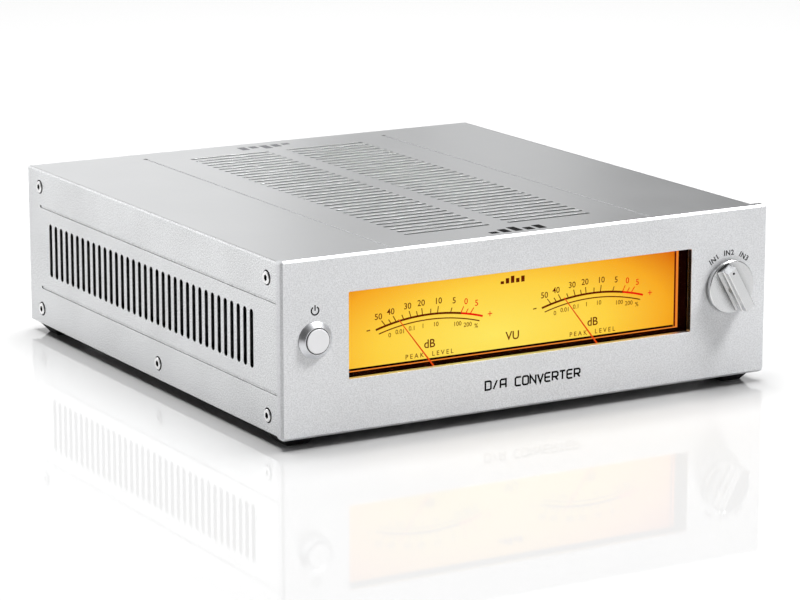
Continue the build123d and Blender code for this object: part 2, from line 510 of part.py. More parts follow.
for side, x in METERS_X.items():
    with BuildPart() as magnet:
        with BuildSketch(behind_front(MAGNET_FRONT)):
            with Locations((x, PIVOT_Z)):
                Circle(MAGNET_R)
                Circle(MAGNET_BORE_R, mode=Mode.SUBTRACT)
        extrude(amount=-MAGNET_L)
        with BuildSketch(behind_front(MAGNET_FRONT + CORE_INSET)):
            with Locations((x, PIVOT_Z)):
                Circle(CORE_R)
                Rectangle(CORE_WEB, 2 * MAGNET_BORE_R + BRIDGE_LAP)
        extrude(amount=-(MAGNET_L - 2 * CORE_INSET))
        for face in (MAGNET_FRONT, MAGNET_BACK - BRIDGE_T):
            with BuildSketch(behind_front(face)):
                with Locations((x, PIVOT_Z)):
                    Rectangle(2 * (MAGNET_BORE_R + BRIDGE_LAP), BRIDGE_W)
            extrude(amount=-BRIDGE_T)
            with BuildSketch(behind_front(face)):
                with Locations((x, PIVOT_Z)):
                    Circle(SHAFT_R + SHAFT_FIT)
            extrude(amount=-BRIDGE_T, mode=Mode.SUBTRACT)
    magnet.part.label = f"{side}_meter_magnet"
    export_step(magnet.part, f"parts/{side}_meter_magnet.step")

    lean = radians(NEEDLE_REST)
    pointer_plane = Plane(
        origin=(x, FRONT_Y + NEEDLE_DEPTH, PIVOT_Z), x_dir=(cos(lean), 0, sin(lean)), z_dir=(0, -1, 0)
    )
    coil_plane = pointer_plane.offset(NEEDLE_DEPTH - MAGNET_FRONT - COIL_INSET)
    with BuildPart() as coil:
        with BuildSketch(coil_plane):
            Rectangle(2 * COIL_R + COIL_T, COIL_W)
        extrude(amount=-(MAGNET_L - 2 * COIL_INSET))
        with BuildSketch(coil_plane.offset(-COIL_T)):
            Rectangle(2 * COIL_R - COIL_T, COIL_W)
        extrude(amount=-(MAGNET_L - 2 * COIL_INSET - 2 * COIL_T), mode=Mode.SUBTRACT)
    coil.part.label = f"{side}_meter_coil"
    export_step(coil.part, f"parts/{side}_meter_coil.step")

    with BuildPart() as needle:
        with BuildSketch(pointer_plane.offset(-POINTER_T / 2)):
            Circle(HUB_R)
            with BuildLine():
                Polyline(
                    (-POINTER_BASE, 0),
                    (-POINTER_TIP, NEEDLE_LENGTH),
                    (POINTER_TIP, NEEDLE_LENGTH),
                    (POINTER_BASE, 0),
                    close=True,
                )
            make_face()
            with Locations((0, -TAIL_DROP)):
                Rectangle(TAIL_W, TAIL_L)
        extrude(amount=POINTER_T)
        with BuildSketch(pointer_plane):
            Circle(SHAFT_R)
        extrude(amount=-(MAGNET_FRONT + COIL_INSET - NEEDLE_DEPTH))
        with BuildSketch(behind_front(MAGNET_BACK - COIL_INSET)):
            with Locations((x, PIVOT_Z)):
                Circle(SHAFT_R)
        extrude(amount=-COIL_INSET)
    needle.part.label = f"{side}_needle"
    export_step(needle.part, f"parts/{side}_needle.step")

# ---------------------------------------------------------------- power button
SLEEVE_R, SLEEVE_BACK, RING_NUT_R, RING_NUT_T = 6.3, 8.0, 7.2, 2.0
BUTTON_FLANGE_R, BUTTON_FLANGE_T = 6.4, 1.0
SWITCH_DEPTH, SWITCH_SIZE = 26.0, 10.0
SPRING_R, SPRING_WIRE_R, SPRING_TURNS = 2.9, 0.3, 5
BUTTON_STEM_R, BUTTON_STEM_END, BUTTON_FIT = 1.8, 28.0, 0.3
SWITCH_BORE_END, RING_FOOT, BUTTON_EDGE_R = 30.5, 0.3, 0.45
SPANNER_SLOT = (0.8, 1.6)

with BuildPart() as power_button_ring:
    with BuildSketch(Plane(origin=(BUTTON_X, FRONT_Y, CONTROL_Z), x_dir=(1, 0, 0), z_dir=(0, 0, 1))):
        with BuildLine():
            Polyline(
                (RING_BORE_R, -RING_PROUD),
                (RING_RIM_R, -RING_PROUD),
                (RING_R, -RING_FOOT),
                (RING_R, 0),
                (SLEEVE_R, 0),
                (SLEEVE_R, SLEEVE_BACK),
                (RING_BORE_R, SLEEVE_BACK),
                close=True,
            )
        make_face()
    revolve(axis=Axis((BUTTON_X, FRONT_Y, CONTROL_Z), (0, 1, 0)))
power_button_ring.part.label = "power_button_ring"
export_step(power_button_ring.part, "parts/power_button_ring.step")

with BuildPart() as ring_nut:
    with BuildSketch(behind_front(PANEL_T)):
        with Locations((BUTTON_X, CONTROL_Z)):
            Circle(RING_NUT_R)
            Circle(SLEEVE_R + THREAD_CLEAR, mode=Mode.SUBTRACT)
            with PolarLocations(RING_NUT_R, 4):
                Rectangle(*SPANNER_SLOT, mode=Mode.SUBTRACT)
    extrude(amount=-RING_NUT_T)
ring_nut.part.label = "ring_nut"
export_step(ring_nut.part, "parts/ring_nut.step")

BUTTON_FLANGE_DEPTH = SLEEVE_BACK + 0.2
with BuildPart() as power_button:
    with BuildSketch(behind_front(-BUTTON_PROUD)):
        with Locations((BUTTON_X, CONTROL_Z)):
            Circle(BUTTON_R)
    extrude(amount=-(BUTTON_PROUD + BUTTON_FLANGE_DEPTH))
    fillet(power_button.faces().sort_by(Axis.Y)[0].edges(), BUTTON_EDGE_R)
    with BuildSketch(behind_front(BUTTON_FLANGE_DEPTH)):
        with Locations((BUTTON_X, CONTROL_Z)):
            Circle(BUTTON_FLANGE_R)
    extrude(amount=-BUTTON_FLANGE_T)
    with BuildSketch(behind_front(BUTTON_FLANGE_DEPTH)):
        with Locations((BUTTON_X, CONTROL_Z)):
            Circle(BUTTON_STEM_R)
    extrude(amount=-(BUTTON_STEM_END - BUTTON_FLANGE_DEPTH))
power_button.part.label = "power_button"
export_step(power_button.part, "parts/power_button.step")

with BuildPart() as power_switch:
    with BuildSketch(behind_front(SWITCH_DEPTH)):
        with Locations((BUTTON_X, CONTROL_Z)):
            Rectangle(SWITCH_SIZE, SWITCH_SIZE)
    extrude(amount=-(BOARD_DEPTH - SWITCH_DEPTH))
    with BuildSketch(behind_front(SWITCH_DEPTH)):
        with Locations((BUTTON_X, CONTROL_Z)):
            Circle(BUTTON_STEM_R + BUTTON_FIT)
    extrude(amount=-(SWITCH_BORE_END - SWITCH_DEPTH), mode=Mode.SUBTRACT)
power_switch.part.label = "power_switch"
export_step(power_switch.part, "parts/power_switch.step")

SPRING_FRONT = BUTTON_FLANGE_DEPTH + BUTTON_FLANGE_T + SPRING_WIRE_R
SPRING_BACK = SWITCH_DEPTH - SPRING_WIRE_R
with BuildPart() as button_spring:
    with BuildLine() as spring_path:
        Helix(
            pitch=(SPRING_BACK - SPRING_FRONT) / SPRING_TURNS,
            height=SPRING_BACK - SPRING_FRONT,
            radius=SPRING_R,
            center=(BUTTON_X, FRONT_Y + SPRING_FRONT, CONTROL_Z),
            direction=(0, 1, 0),
        )
    with BuildSketch(Plane(origin=spring_path.line @ 0, z_dir=spring_path.line % 0)):
        Circle(SPRING_WIRE_R)
    sweep(is_frenet=True)
button_spring.part.label = "button_spring"
export_step(button_spring.part, "parts/button_spring.step")

# ---------------------------------------------------------------- selector knob
tilt = radians(KNOB_REST)
knob_face = Plane(origin=(KNOB_X, FRONT_Y, CONTROL_Z), x_dir=(cos(tilt), 0, sin(tilt)), z_dir=(0, -1, 0))
pointer = Vector(-sin(tilt), 0, cos(tilt))
bar_section = Plane(
    origin=knob_face.origin - pointer * BAR_L / 2, x_dir=(cos(tilt), 0, sin(tilt)), z_dir=pointer
)
SHAFT_KNOB_R, SHAFT_KNOB_END, SHAFT_FLAT = 3.0, 6.5, 0.6
DOT_R, DOT_FROM_AXIS, DOT_DEEP = 0.55, 9.0, 0.3
DISC_CHAMFER, SHAFT_KNOB_FIT, SHAFT_END_GAP = 0.35, 0.02, 0.2
# half section of the bar: its foot, its waist, the shoulder under the top block, and the broken top edge
BAR_FOOT, BAR_SINK, BAR_WAIST_OUT, BAR_SHOULDER_OUT, BAR_EDGE = 0.3, 0.5, 0.2, 0.45, 0.25
BAR_WAIST_UP, BAR_SHOULDER_UP, BAR_BLOCK_UP = 2.1, 3.9, 4.3
BUSH_R, BUSH_FRONT, SELECTOR_DEPTH, SELECTOR_SIZE = 4.6, 14.0, 22.0, 17.0
SELECTOR_BUSH_FIT, ROTOR_R, ROTOR_T, ROTOR_BEHIND = 0.05, 5.5, 1.2, 6.0

with BuildPart() as selector_knob:
    with BuildSketch(knob_face.offset(KNOB_GAP)):
        Circle(KNOB_R)
    extrude(amount=KNOB_DISC - KNOB_GAP)
    chamfer(selector_knob.faces().sort_by(Axis.Y)[0].edges(), DISC_CHAMFER)
    with BuildSketch(bar_section):
        with BuildLine():
            Polyline(
                (0, -KNOB_DISC + BAR_SINK),
                (BAR_BASE_W / 2, -KNOB_DISC + BAR_SINK),
                (BAR_BASE_W / 2, -KNOB_DISC - BAR_FOOT),
            )
            ThreePointArc(
                (BAR_BASE_W / 2, -KNOB_DISC - BAR_FOOT),
                (BAR_W / 2 + BAR_WAIST_OUT, -KNOB_DISC - BAR_WAIST_UP),
                (BAR_W / 2 + BAR_SHOULDER_OUT, -KNOB_DISC - BAR_SHOULDER_UP),
            )
            Polyline(
                (BAR_W / 2 + BAR_SHOULDER_OUT, -KNOB_DISC - BAR_SHOULDER_UP),
                (BAR_W / 2, -KNOB_DISC - BAR_BLOCK_UP),
                (BAR_W / 2, -KNOB_PROUD + BAR_EDGE),
                (BAR_W / 2 - BAR_EDGE, -KNOB_PROUD),
                (0, -KNOB_PROUD),
            )
            mirror(about=Plane.YZ)
        make_face()
    extrude(amount=BAR_L)
    with BuildSketch(knob_face.offset(KNOB_GAP)):
        Circle(SHAFT_KNOB_R + SHAFT_KNOB_FIT)
        with Locations((0, SHAFT_KNOB_R)):
            Rectangle(2 * SHAFT_KNOB_R, 2 * SHAFT_FLAT, mode=Mode.SUBTRACT)
    extrude(amount=SHAFT_KNOB_END - KNOB_GAP, mode=Mode.SUBTRACT)
    with BuildSketch(knob_face.offset(KNOB_PROUD)):
        with Locations((0, DOT_FROM_AXIS)):
            Circle(DOT_R)
    extrude(amount=-DOT_DEEP, mode=Mode.SUBTRACT)
selector_knob.part.label = "selector_knob"
export_step(selector_knob.part, "parts/selector_knob.step")

with BuildPart() as selector_shaft:
    with BuildSketch(knob_face.offset(SHAFT_KNOB_END - SHAFT_END_GAP)):
        Circle(SHAFT_KNOB_R)
        with Locations((0, SHAFT_KNOB_R)):
            Rectangle(2 * SHAFT_KNOB_R, 2 * (SHAFT_FLAT + SHAFT_KNOB_FIT), mode=Mode.SUBTRACT)
    extrude(amount=-(SHAFT_KNOB_END - SHAFT_END_GAP - KNOB_GAP))
    with BuildSketch(knob_face.offset(KNOB_GAP)):
        Circle(SHAFT_KNOB_R)
    extrude(amount=-(KNOB_GAP + SELECTOR_DEPTH + ROTOR_BEHIND))
    with BuildSketch(knob_face.offset(-SELECTOR_DEPTH - ROTOR_BEHIND)):
        Circle(ROTOR_R)
    extrude(amount=-ROTOR_T)
selector_shaft.part.label = "selector_shaft"
export_step(selector_shaft.part, "parts/selector_shaft.step")

SELECTOR_CAVITY_R, SELECTOR_CAVITY_BEHIND, SELECTOR_CAVITY_L = 6.5, 5.0, 4.0
with BuildPart() as selector_switch:
    with BuildSketch(behind_front(SELECTOR_DEPTH)):
        with Locations((KNOB_X, CONTROL_Z)):
            Rectangle(SELECTOR_SIZE, SELECTOR_SIZE)
    extrude(amount=-(BOARD_DEPTH - SELECTOR_DEPTH))
    with BuildSketch(behind_front(BUSH_FRONT)):
        with Locations((KNOB_X, CONTROL_Z)):
            Circle(BUSH_R)
    extrude(amount=-(SELECTOR_DEPTH - BUSH_FRONT))
    with BuildSketch(behind_front(BUSH_FRONT)):
        with Locations((KNOB_X, CONTROL_Z)):
            Circle(SHAFT_KNOB_R + SELECTOR_BUSH_FIT)
    extrude(amount=-(SELECTOR_DEPTH - BUSH_FRONT + SELECTOR_CAVITY_BEHIND), mode=Mode.SUBTRACT)
    with BuildSketch(behind_front(SELECTOR_DEPTH + SELECTOR_CAVITY_BEHIND)):
        with Locations((KNOB_X, CONTROL_Z)):
            Circle(SELECTOR_CAVITY_R)
    extrude(amount=-SELECTOR_CAVITY_L, mode=Mode.SUBTRACT)
selector_switch.part.label = "selector_switch"
export_step(selector_switch.part, "parts/selector_switch.step")

# ---------------------------------------------------------------- front control board
FRONT_BOARD_W, FRONT_BOARD_BOTTOM, FRONT_BOARD_TOP, BOARD_CORNER = 231.4, 20.0, 72.0, 1.5
with BuildPart() as front_board:
    with BuildSketch(behind_front(BOARD_DEPTH)):
        with Locations((0, (FRONT_BOARD_BOTTOM + FRONT_BOARD_TOP) / 2)):
            RectangleRounded(FRONT_BOARD_W, FRONT_BOARD_TOP - FRONT_BOARD_BOTTOM, BOARD_CORNER)
        with Locations(*STANDOFFS):
            Circle(SCREW_HOLE_R, mode=Mode.SUBTRACT)
    extrude(amount=-BOARD_T)
front_board.part.label = "front_board"
export_step(front_board.part, "parts/front_board.step")

STUD, STANDOFF_ACROSS, STANDOFF_BORE = 2.2, 5.0, 6.0
with BuildPart() as front_standoffs:
    with BuildSketch(behind_front(PANEL_T)):
        with Locations(*STANDOFFS):
            RegularPolygon(STANDOFF_ACROSS / 2, 6, major_radius=False)
    extrude(amount=-(BOARD_DEPTH - PANEL_T))
    with BuildSketch(behind_front(PANEL_T)):
        with Locations(*STANDOFFS):
            Circle(M2_BUTTON[3])
    extrude(amount=STUD)
    with BuildSketch(behind_front(BOARD_DEPTH)):
        with Locations(*STANDOFFS):
            Circle(M3_BUTTON[3] + THREAD_CLEAR)
    extrude(amount=STANDOFF_BORE, mode=Mode.SUBTRACT)
front_standoffs.part.label = "front_standoffs"
export_step(front_standoffs.part, "parts/front_standoffs.step")

# ---------------------------------------------------------------- mains inlet and switch
INLET_FLANGE, INLET_FLANGE_T, INLET_FLANGE_CORNER, INLET_DEEP = (31.0, 24.0), 2.5, 1.5, 20.0
FLANGE_CHAMFER = 0.5
INLET_CAVITY, INLET_CAVITY_DEEP, INLET_CORNER = (24.2, 16.6), 18.0, 4.0
BLADE_W, BLADE_H, BLADE_RECESS, BLADE_TAIL = 2.0, 4.0, 5.6, 7.0
BLADES_OUT, BLADES_UP = 7.0, 2.0
BLADES = [
    (INLET_X - BLADES_OUT, INLET_Z - BLADES_UP),
    (INLET_X + BLADES_OUT, INLET_Z - BLADES_UP),
    (INLET_X, INLET_Z + BLADES_UP),
]

with BuildPart() as mains_inlet:
    with BuildSketch(behind_rear(0)):
        with Locations((INLET_X, INLET_Z)):
            RectangleRounded(*INLET_FLANGE, INLET_FLANGE_CORNER)
    extrude(amount=-INLET_FLANGE_T)
    chamfer(mains_inlet.faces().sort_by(Axis.Y)[-1].edges(), FLANGE_CHAMFER)
    with BuildSketch(behind_rear(0)):
        with Locations((INLET_X, INLET_Z)):
            Rectangle(INLET_W, INLET_H)
    extrude(amount=INLET_DEEP)
    with BuildSketch(behind_rear(-INLET_FLANGE_T)) as inlet_mouth:
        with Locations((INLET_X, INLET_Z)):
            Rectangle(*INLET_CAVITY)
        chamfer(inlet_mouth.vertices().group_by(Axis.Y)[-1], INLET_CORNER)
    extrude(amount=INLET_CAVITY_DEEP, mode=Mode.SUBTRACT)
    with BuildSketch(behind_rear(0)):
        with Locations(*BLADES):
            Rectangle(BLADE_W, BLADE_H)
    extrude(amount=INLET_DEEP, mode=Mode.SUBTRACT)
mains_inlet.part.label = "mains_inlet"
export_step(mains_inlet.part, "parts/mains_inlet.step")

ROCKER_FLANGE_T, ROCKER_BODY = 1.8, (12.7, 20.7)
ROCKER_OPENING, ROCKER_W = (11.0, 18.2), 10.4
ROCKER_PIVOT_Y, ROCKER_CAVITY_Y, ROCKER_BACK_Y = 122.5, 116.0, 110.0
ROCKER_PIN_R, ROCKER_PIN_L, PIVOT_FIT = 1.0, 12.4, 0.05
ROCKER_TILT = 12.0        # degrees from level, at rest in the off position
ROCKER_FRAME_CORNER = 1.0
# side view of the rocker about its pivot: how far out and up its tips, middle and skirt lie
ROCKER_TIP, ROCKER_SHOULDER, ROCKER_SKIRT, ROCKER_HOLLOW = (7.3, 7.4), (4.6, 7.6), (-2.0, 4.6), 5.73

with BuildPart() as rocker_frame:
    with BuildSketch(behind_rear(0)):
        with Locations((ROCKER_X, ROCKER_Z)):
            RectangleRounded(ROCKER_FRAME_W, ROCKER_FRAME_H, ROCKER_FRAME_CORNER)
    extrude(amount=-ROCKER_FLANGE_T)
    chamfer(rocker_frame.faces().sort_by(Axis.Y)[-1].edges(), FLANGE_CHAMFER)
    with BuildSketch(behind_rear(0)):
        with Locations((ROCKER_X, ROCKER_Z)):
            Rectangle(*ROCKER_BODY)
    extrude(amount=REAR_Y - ROCKER_BACK_Y)
    with BuildSketch(behind_rear(-ROCKER_FLANGE_T)):
        with Locations((ROCKER_X, ROCKER_Z)):
            Rectangle(*ROCKER_OPENING)
    extrude(amount=REAR_Y + ROCKER_FLANGE_T - ROCKER_CAVITY_Y, mode=Mode.SUBTRACT)
    with Locations(Location((ROCKER_X, ROCKER_PIVOT_Y, ROCKER_Z), (0, 90, 0))):
        Cylinder(ROCKER_PIN_R + PIVOT_FIT, ROCKER_BODY[0], mode=Mode.SUBTRACT)
rocker_frame.part.label = "rocker_frame"
export_step(rocker_frame.part, "parts/rocker_frame.step")

rocker_lean = radians(ROCKER_TILT)
rocker_side = Plane(
    origin=(ROCKER_X, ROCKER_PIVOT_Y, ROCKER_Z),
    x_dir=(0, cos(rocker_lean), -sin(rocker_lean)),
    z_dir=(1, 0, 0),
)
with BuildPart() as mains_rocker:
    with BuildSketch(rocker_side):
        with BuildLine():
            Polyline((ROCKER_HOLLOW, 0), ROCKER_TIP, ROCKER_SHOULDER, ROCKER_SKIRT, (ROCKER_SKIRT[0], 0))
            mirror(about=Plane.XZ)
        make_face()
    extrude(amount=ROCKER_W / 2, both=True)
    with Locations(Location((ROCKER_X, ROCKER_PIVOT_Y, ROCKER_Z), (0, 90, 0))):
        Cylinder(ROCKER_PIN_R, ROCKER_PIN_L)
mains_rocker.part.label = "mains_rocker"
export_step(mains_rocker.part, "parts/mains_rocker.step")

# ---------------------------------------------------------------- balanced outputs
XLR_FLANGE, XLR_CAVITY_R, XLR_CAVITY_DEEP, XLR_BACK = (26.0, 31.0), 9.4, 15.0, 22.8
XLR_PIN_R, XLR_PIN_CIRCLE, XLR_PIN_RECESS, XLR_PIN_TAIL = 1.2, 4.6, 4.8, 5.0
XLR_PIN_START = 30.0      # angle of the first pin from level
XLR_CORNER, XLR_CHAMFER = 3.0, 0.4

for name, x in XLRS_X.items():
    with BuildPart() as balanced_output:
        with BuildSketch(behind_rear(0)):
            with Locations((x, XLR_Z)):
                RectangleRounded(*XLR_FLANGE, XLR_CORNER)
        extrude(amount=-XLR_FLANGE_T)
        chamfer(balanced_output.faces().sort_by(Axis.Y)[-1].edges(), XLR_CHAMFER)
        with BuildSketch(behind_rear(0)):
            with Locations((x, XLR_Z)):
                Circle(XLR_R)
        extrude(amount=XLR_BACK)
        with BuildSketch(behind_rear(-XLR_FLANGE_T)):
            with Locations((x, XLR_Z)):
                Circle(XLR_CAVITY_R)
        extrude(amount=XLR_CAVITY_DEEP, mode=Mode.SUBTRACT)
        with BuildSketch(behind_rear(-XLR_FLANGE_T)):
            with Locations(*XLR_SCREWS):
                Circle(SCREW_HOLE_R)
        extrude(amount=XLR_FLANGE_T, mode=Mode.SUBTRACT)
        with BuildSketch(behind_rear(0)):
            with Locations((x, XLR_Z)):
                with PolarLocations(XLR_PIN_CIRCLE, 3, start_angle=XLR_PIN_START):
                    Circle(XLR_PIN_R)
        extrude(amount=XLR_BACK, mode=Mode.SUBTRACT)
    balanced_output.part.label = name
    export_step(balanced_output.part, f"parts/{name}.step")

TERMINAL_W, TERMINAL_H, TERMINAL_L, TERMINAL_PITCH = 0.8, 4.8, 7.0, 7.0
with BuildPart() as connector_pins:
    with BuildSketch(behind_rear(BLADE_RECESS - INLET_FLANGE_T)):
        with Locations(*BLADES):
            Rectangle(BLADE_W, BLADE_H)
    extrude(amount=INLET_DEEP + BLADE_TAIL + INLET_FLANGE_T - BLADE_RECESS)
    with BuildSketch(behind_rear(XLR_PIN_RECESS - XLR_FLANGE_T)):
        for x in XLRS_X.values():
            with Locations((x, XLR_Z)):
                with PolarLocations(XLR_PIN_CIRCLE, 3, start_angle=XLR_PIN_START):
                    Circle(XLR_PIN_R)
    extrude(amount=XLR_BACK + XLR_PIN_TAIL + XLR_FLANGE_T - XLR_PIN_RECESS)
    with BuildSketch(behind_rear(REAR_Y - ROCKER_BACK_Y)):
        with Locations((ROCKER_X, ROCKER_Z)):
            with GridLocations(1, TERMINAL_PITCH, 1, 3):
                Rectangle(TERMINAL_H, TERMINAL_W)
    extrude(amount=TERMINAL_L)
connector_pins.part.label = "connector_pins"
export_step(connector_pins.part, "parts/connector_pins.step")

# ---------------------------------------------------------------- phono sockets
BUSH_SHOULDER_R, BUSH_SHOULDER_T, BUSH_BACK = 6.6, 1.2, 4.0
JACK_COLLAR_R, JACK_COLLAR_T, JACK_BACK, JACK_NUT_T = 5.6, 1.0, 11.0, 2.0
CONTACT_WALL, CONTACT_BACK, INSERT_RECESS = 0.3, 14.0, 0.4


def jack_ring(place, outer_r, inner_r, start, end):
    """A tube about a phono socket's axis, between two depths inside the rear face."""
    with BuildSketch(behind_rear(start)) as ring:
        with Locations(place):
            Circle(outer_r)
            Circle(inner_r, mode=Mode.SUBTRACT)
    extrude(ring.sketch, amount=end - start)


for name, place in PHONOS.items():
    with BuildPart() as jack:
        jack_ring(place, PHONO_R, PHONO_WALL_R, -REAR_PROUD, JACK_BACK)
        jack_ring(place, JACK_COLLAR_R, PHONO_WALL_R, -BUSH_SHOULDER_T - JACK_COLLAR_T, -BUSH_SHOULDER_T)
        jack_ring(place, JACK_COLLAR_R, PHONO_WALL_R, BUSH_BACK, BUSH_BACK + JACK_NUT_T)
        jack_ring(place, PHONO_PIN_R + CONTACT_WALL, PHONO_PIN_R, INSERT_RECESS - REAR_PROUD, CONTACT_BACK)
    jack.part.label = name
    export_step(jack.part, f"parts/{name}.step")

with BuildPart() as jack_insulators:
    for place in PHONOS.values():
        jack_ring(place, BUSH_SHOULDER_R, PHONO_R, -BUSH_SHOULDER_T, 0)
        jack_ring(place, PHONO_BUSH_R, PHONO_R, 0, BUSH_BACK)
        jack_ring(place, PHONO_WALL_R, PHONO_PIN_R + CONTACT_WALL, INSERT_RECESS - REAR_PROUD, JACK_BACK)
jack_insulators.part.label = "jack_insulators"
export_step(jack_insulators.part, "parts/jack_insulators.step")

# ---------------------------------------------------------------- optical input and USB socket
SOCKET_PROUD, SOCKET_SHOULDER, OPTICAL_CORNER, USB_CORNER_R, PIN_END_GAP = 1.2, 1.0, 0.8, 0.6, 0.1
OPTICAL_BACK, OPTICAL_CAVITY, OPTICAL_CAVITY_DEEP = 16.0, (9.8, 9.4), 14.0
SHUTTER_W, SHUTTER_T, SHUTTER_RECESS, SHUTTER_FIT = 9.2, 0.8, 4.4, 0.3
SHUTTER_PIN_R, SHUTTER_PIN_L = 0.6, 11.0
SHUTTER_Y = REAR_Y + SOCKET_PROUD - SHUTTER_RECESS - SHUTTER_T / 2
SHUTTER_Z = OPTICAL_Z + OPTICAL_CAVITY[1] / 2 - SHUTTER_PIN_R - SHUTTER_FIT

with BuildPart() as optical_input:
    with BuildSketch(behind_rear(-SOCKET_PROUD)):
        with Locations((OPTICAL_X, OPTICAL_Z)):
            RectangleRounded(OPTICAL_W, OPTICAL_H, OPTICAL_CORNER)
    extrude(amount=OPTICAL_BACK + SOCKET_PROUD)
    with BuildSketch(behind_rear(REAR_T)):
        with Locations((OPTICAL_X, OPTICAL_Z)):
            Rectangle(OPTICAL_W + 2 * SOCKET_SHOULDER, OPTICAL_H + 2 * SOCKET_SHOULDER)
    extrude(amount=OPTICAL_BACK - REAR_T)
    with BuildSketch(behind_rear(-SOCKET_PROUD)):
        with Locations((OPTICAL_X, OPTICAL_Z)):
            Rectangle(*OPTICAL_CAVITY)
    extrude(amount=OPTICAL_CAVITY_DEEP, mode=Mode.SUBTRACT)
    with Locations(Location((OPTICAL_X, SHUTTER_Y, SHUTTER_Z), (0, 90, 0))):
        Cylinder(SHUTTER_PIN_R + PIVOT_FIT, SHUTTER_PIN_L + 2 * PIN_END_GAP, mode=Mode.SUBTRACT)
optical_input.part.label = "optical_input"
export_step(optical_input.part, "parts/optical_input.step")

with BuildPart() as optical_shutter:
    shutter_low_z = OPTICAL_Z - OPTICAL_CAVITY[1] / 2 + SHUTTER_FIT
    box(
        (OPTICAL_X - SHUTTER_W / 2, SHUTTER_Y - SHUTTER_T / 2, shutter_low_z),
        (OPTICAL_X + SHUTTER_W / 2, SHUTTER_Y + SHUTTER_T / 2, SHUTTER_Z),
    )
    with Locations(Location((OPTICAL_X, SHUTTER_Y, SHUTTER_Z), (0, 90, 0))):
        Cylinder(SHUTTER_PIN_R, SHUTTER_PIN_L)
optical_shutter.part.label = "optical_shutter"
export_step(optical_shutter.part, "parts/optical_shutter.step")

USB_BACK, USB_CAVITY, USB_CAVITY_DEEP, USB_CORNER = 16.0, (8.6, 7.9), 11.0, 1.6
USB_TONGUE, USB_TONGUE_RECESS = (5.5, 3.0), 4.6
with BuildPart() as usb_socket:
    with BuildSketch(behind_rear(-SOCKET_PROUD)):
        with Locations((USB_X, USB_Z)):
            RectangleRounded(USB_W, USB_H, USB_CORNER_R)
    extrude(amount=USB_BACK + SOCKET_PROUD)
    with BuildSketch(behind_rear(REAR_T)):
        with Locations((USB_X, USB_Z)):
            Rectangle(USB_W + 2 * SOCKET_SHOULDER, USB_H + 2 * SOCKET_SHOULDER)
    extrude(amount=USB_BACK - REAR_T)
    with BuildSketch(behind_rear(-SOCKET_PROUD)) as usb_mouth:
        with Locations((USB_X, USB_Z)):
            Rectangle(*USB_CAVITY)
        chamfer(usb_mouth.vertices().group_by(Axis.Y)[-1], USB_CORNER)
    extrude(amount=USB_CAVITY_DEEP, mode=Mode.SUBTRACT)
    with BuildSketch(behind_rear(USB_TONGUE_RECESS - SOCKET_PROUD)):
        with Locations((USB_X, USB_Z)):
            Rectangle(*USB_TONGUE)
    extrude(amount=USB_CAVITY_DEEP - USB_TONGUE_RECESS)
usb_socket.part.label = "usb_socket"
export_step(usb_socket.part, "parts/usb_socket.step")

# ---------------------------------------------------------------- transformer and power supply
TOROID_EDGE_R, WASHER_R, WASHER_T = 9.0, 22.0, 2.0
BOLT_HEAD_R, BOLT_HEAD_H, BOLT_KEY, BOLT_KEY_DEEP = 4.25, 3.5, 4.0, 2.2
with BuildPart() as transformer:
    with BuildSketch(Plane.XZ.offset(-TOROID_Y)):
        with Locations((TOROID_X + (TOROID_R + TOROID_BORE) / 2, TRAY_TOP + TOROID_H / 2)):
            RectangleRounded(TOROID_R - TOROID_BORE, TOROID_H, TOROID_EDGE_R)
    revolve(axis=Axis((TOROID_X, TOROID_Y, 0), (0, 0, 1)))
transformer.part.label = "transformer"
export_step(transformer.part, "parts/transformer.step")

with BuildPart() as transformer_bolt:
    washer_z = TRAY_TOP + TOROID_H
    with Locations((TOROID_X, TOROID_Y, washer_z)):
        Cylinder(WASHER_R, WASHER_T, align=LOW)
    with Locations((TOROID_X, TOROID_Y, washer_z + WASHER_T)):
        Cylinder(BOLT_HEAD_R, BOLT_HEAD_H, align=LOW)
    with BuildSketch(Plane.XY.offset(washer_z + WASHER_T + BOLT_HEAD_H)):
        with Locations((TOROID_X, TOROID_Y)):
            RegularPolygon(BOLT_KEY / 2, 6, major_radius=False)
    extrude(amount=-BOLT_KEY_DEEP, mode=Mode.SUBTRACT)
    with Locations((TOROID_X, TOROID_Y, BODY_BOTTOM)):
        Cylinder(TOROID_BOLT_R, washer_z - BODY_BOTTOM, align=LOW)
transformer_bolt.part.label = "transformer_bolt"
export_step(transformer_bolt.part, "parts/transformer_bolt.step")

for name, (low_x, low_y, high_x, high_y) in (("power_board", POWER_BOARD), ("main_board", MAIN_BOARD)):
    with BuildPart() as board:
        with BuildSketch(Plane.XY.offset(MAIN_BOARD_Z)):
            with Locations(((low_x + high_x) / 2, (low_y + high_y) / 2)):
                RectangleRounded(high_x - low_x, high_y - low_y, BOARD_CORNER)
            with Locations(*BOARD_POSTS):
                Circle(SCREW_HOLE_R, mode=Mode.SUBTRACT)
        extrude(amount=BOARD_T)
    board.part.label = name
    export_step(board.part, f"parts/{name}.step")

BOARD_TOP = MAIN_BOARD_Z + BOARD_T
CAPACITOR_R, CAPACITOR_H, CAPACITOR_EDGE_R = 9.0, 30.0, 0.8
CAPACITORS = [(x, y) for x in (-92.0, -70.0, -48.0) for y in (-64.0, -40.0)]
with BuildPart() as power_capacitors:
    with Locations(*[(x, y, BOARD_TOP) for x, y in CAPACITORS]):
        Cylinder(CAPACITOR_R, CAPACITOR_H, align=LOW)
    fillet(power_capacitors.edges().filter_by(GeomType.CIRCLE).group_by(Axis.Z)[-1], CAPACITOR_EDGE_R)
power_capacitors.part.label = "power_capacitors"
export_step(power_capacitors.part, "parts/power_capacitors.step")

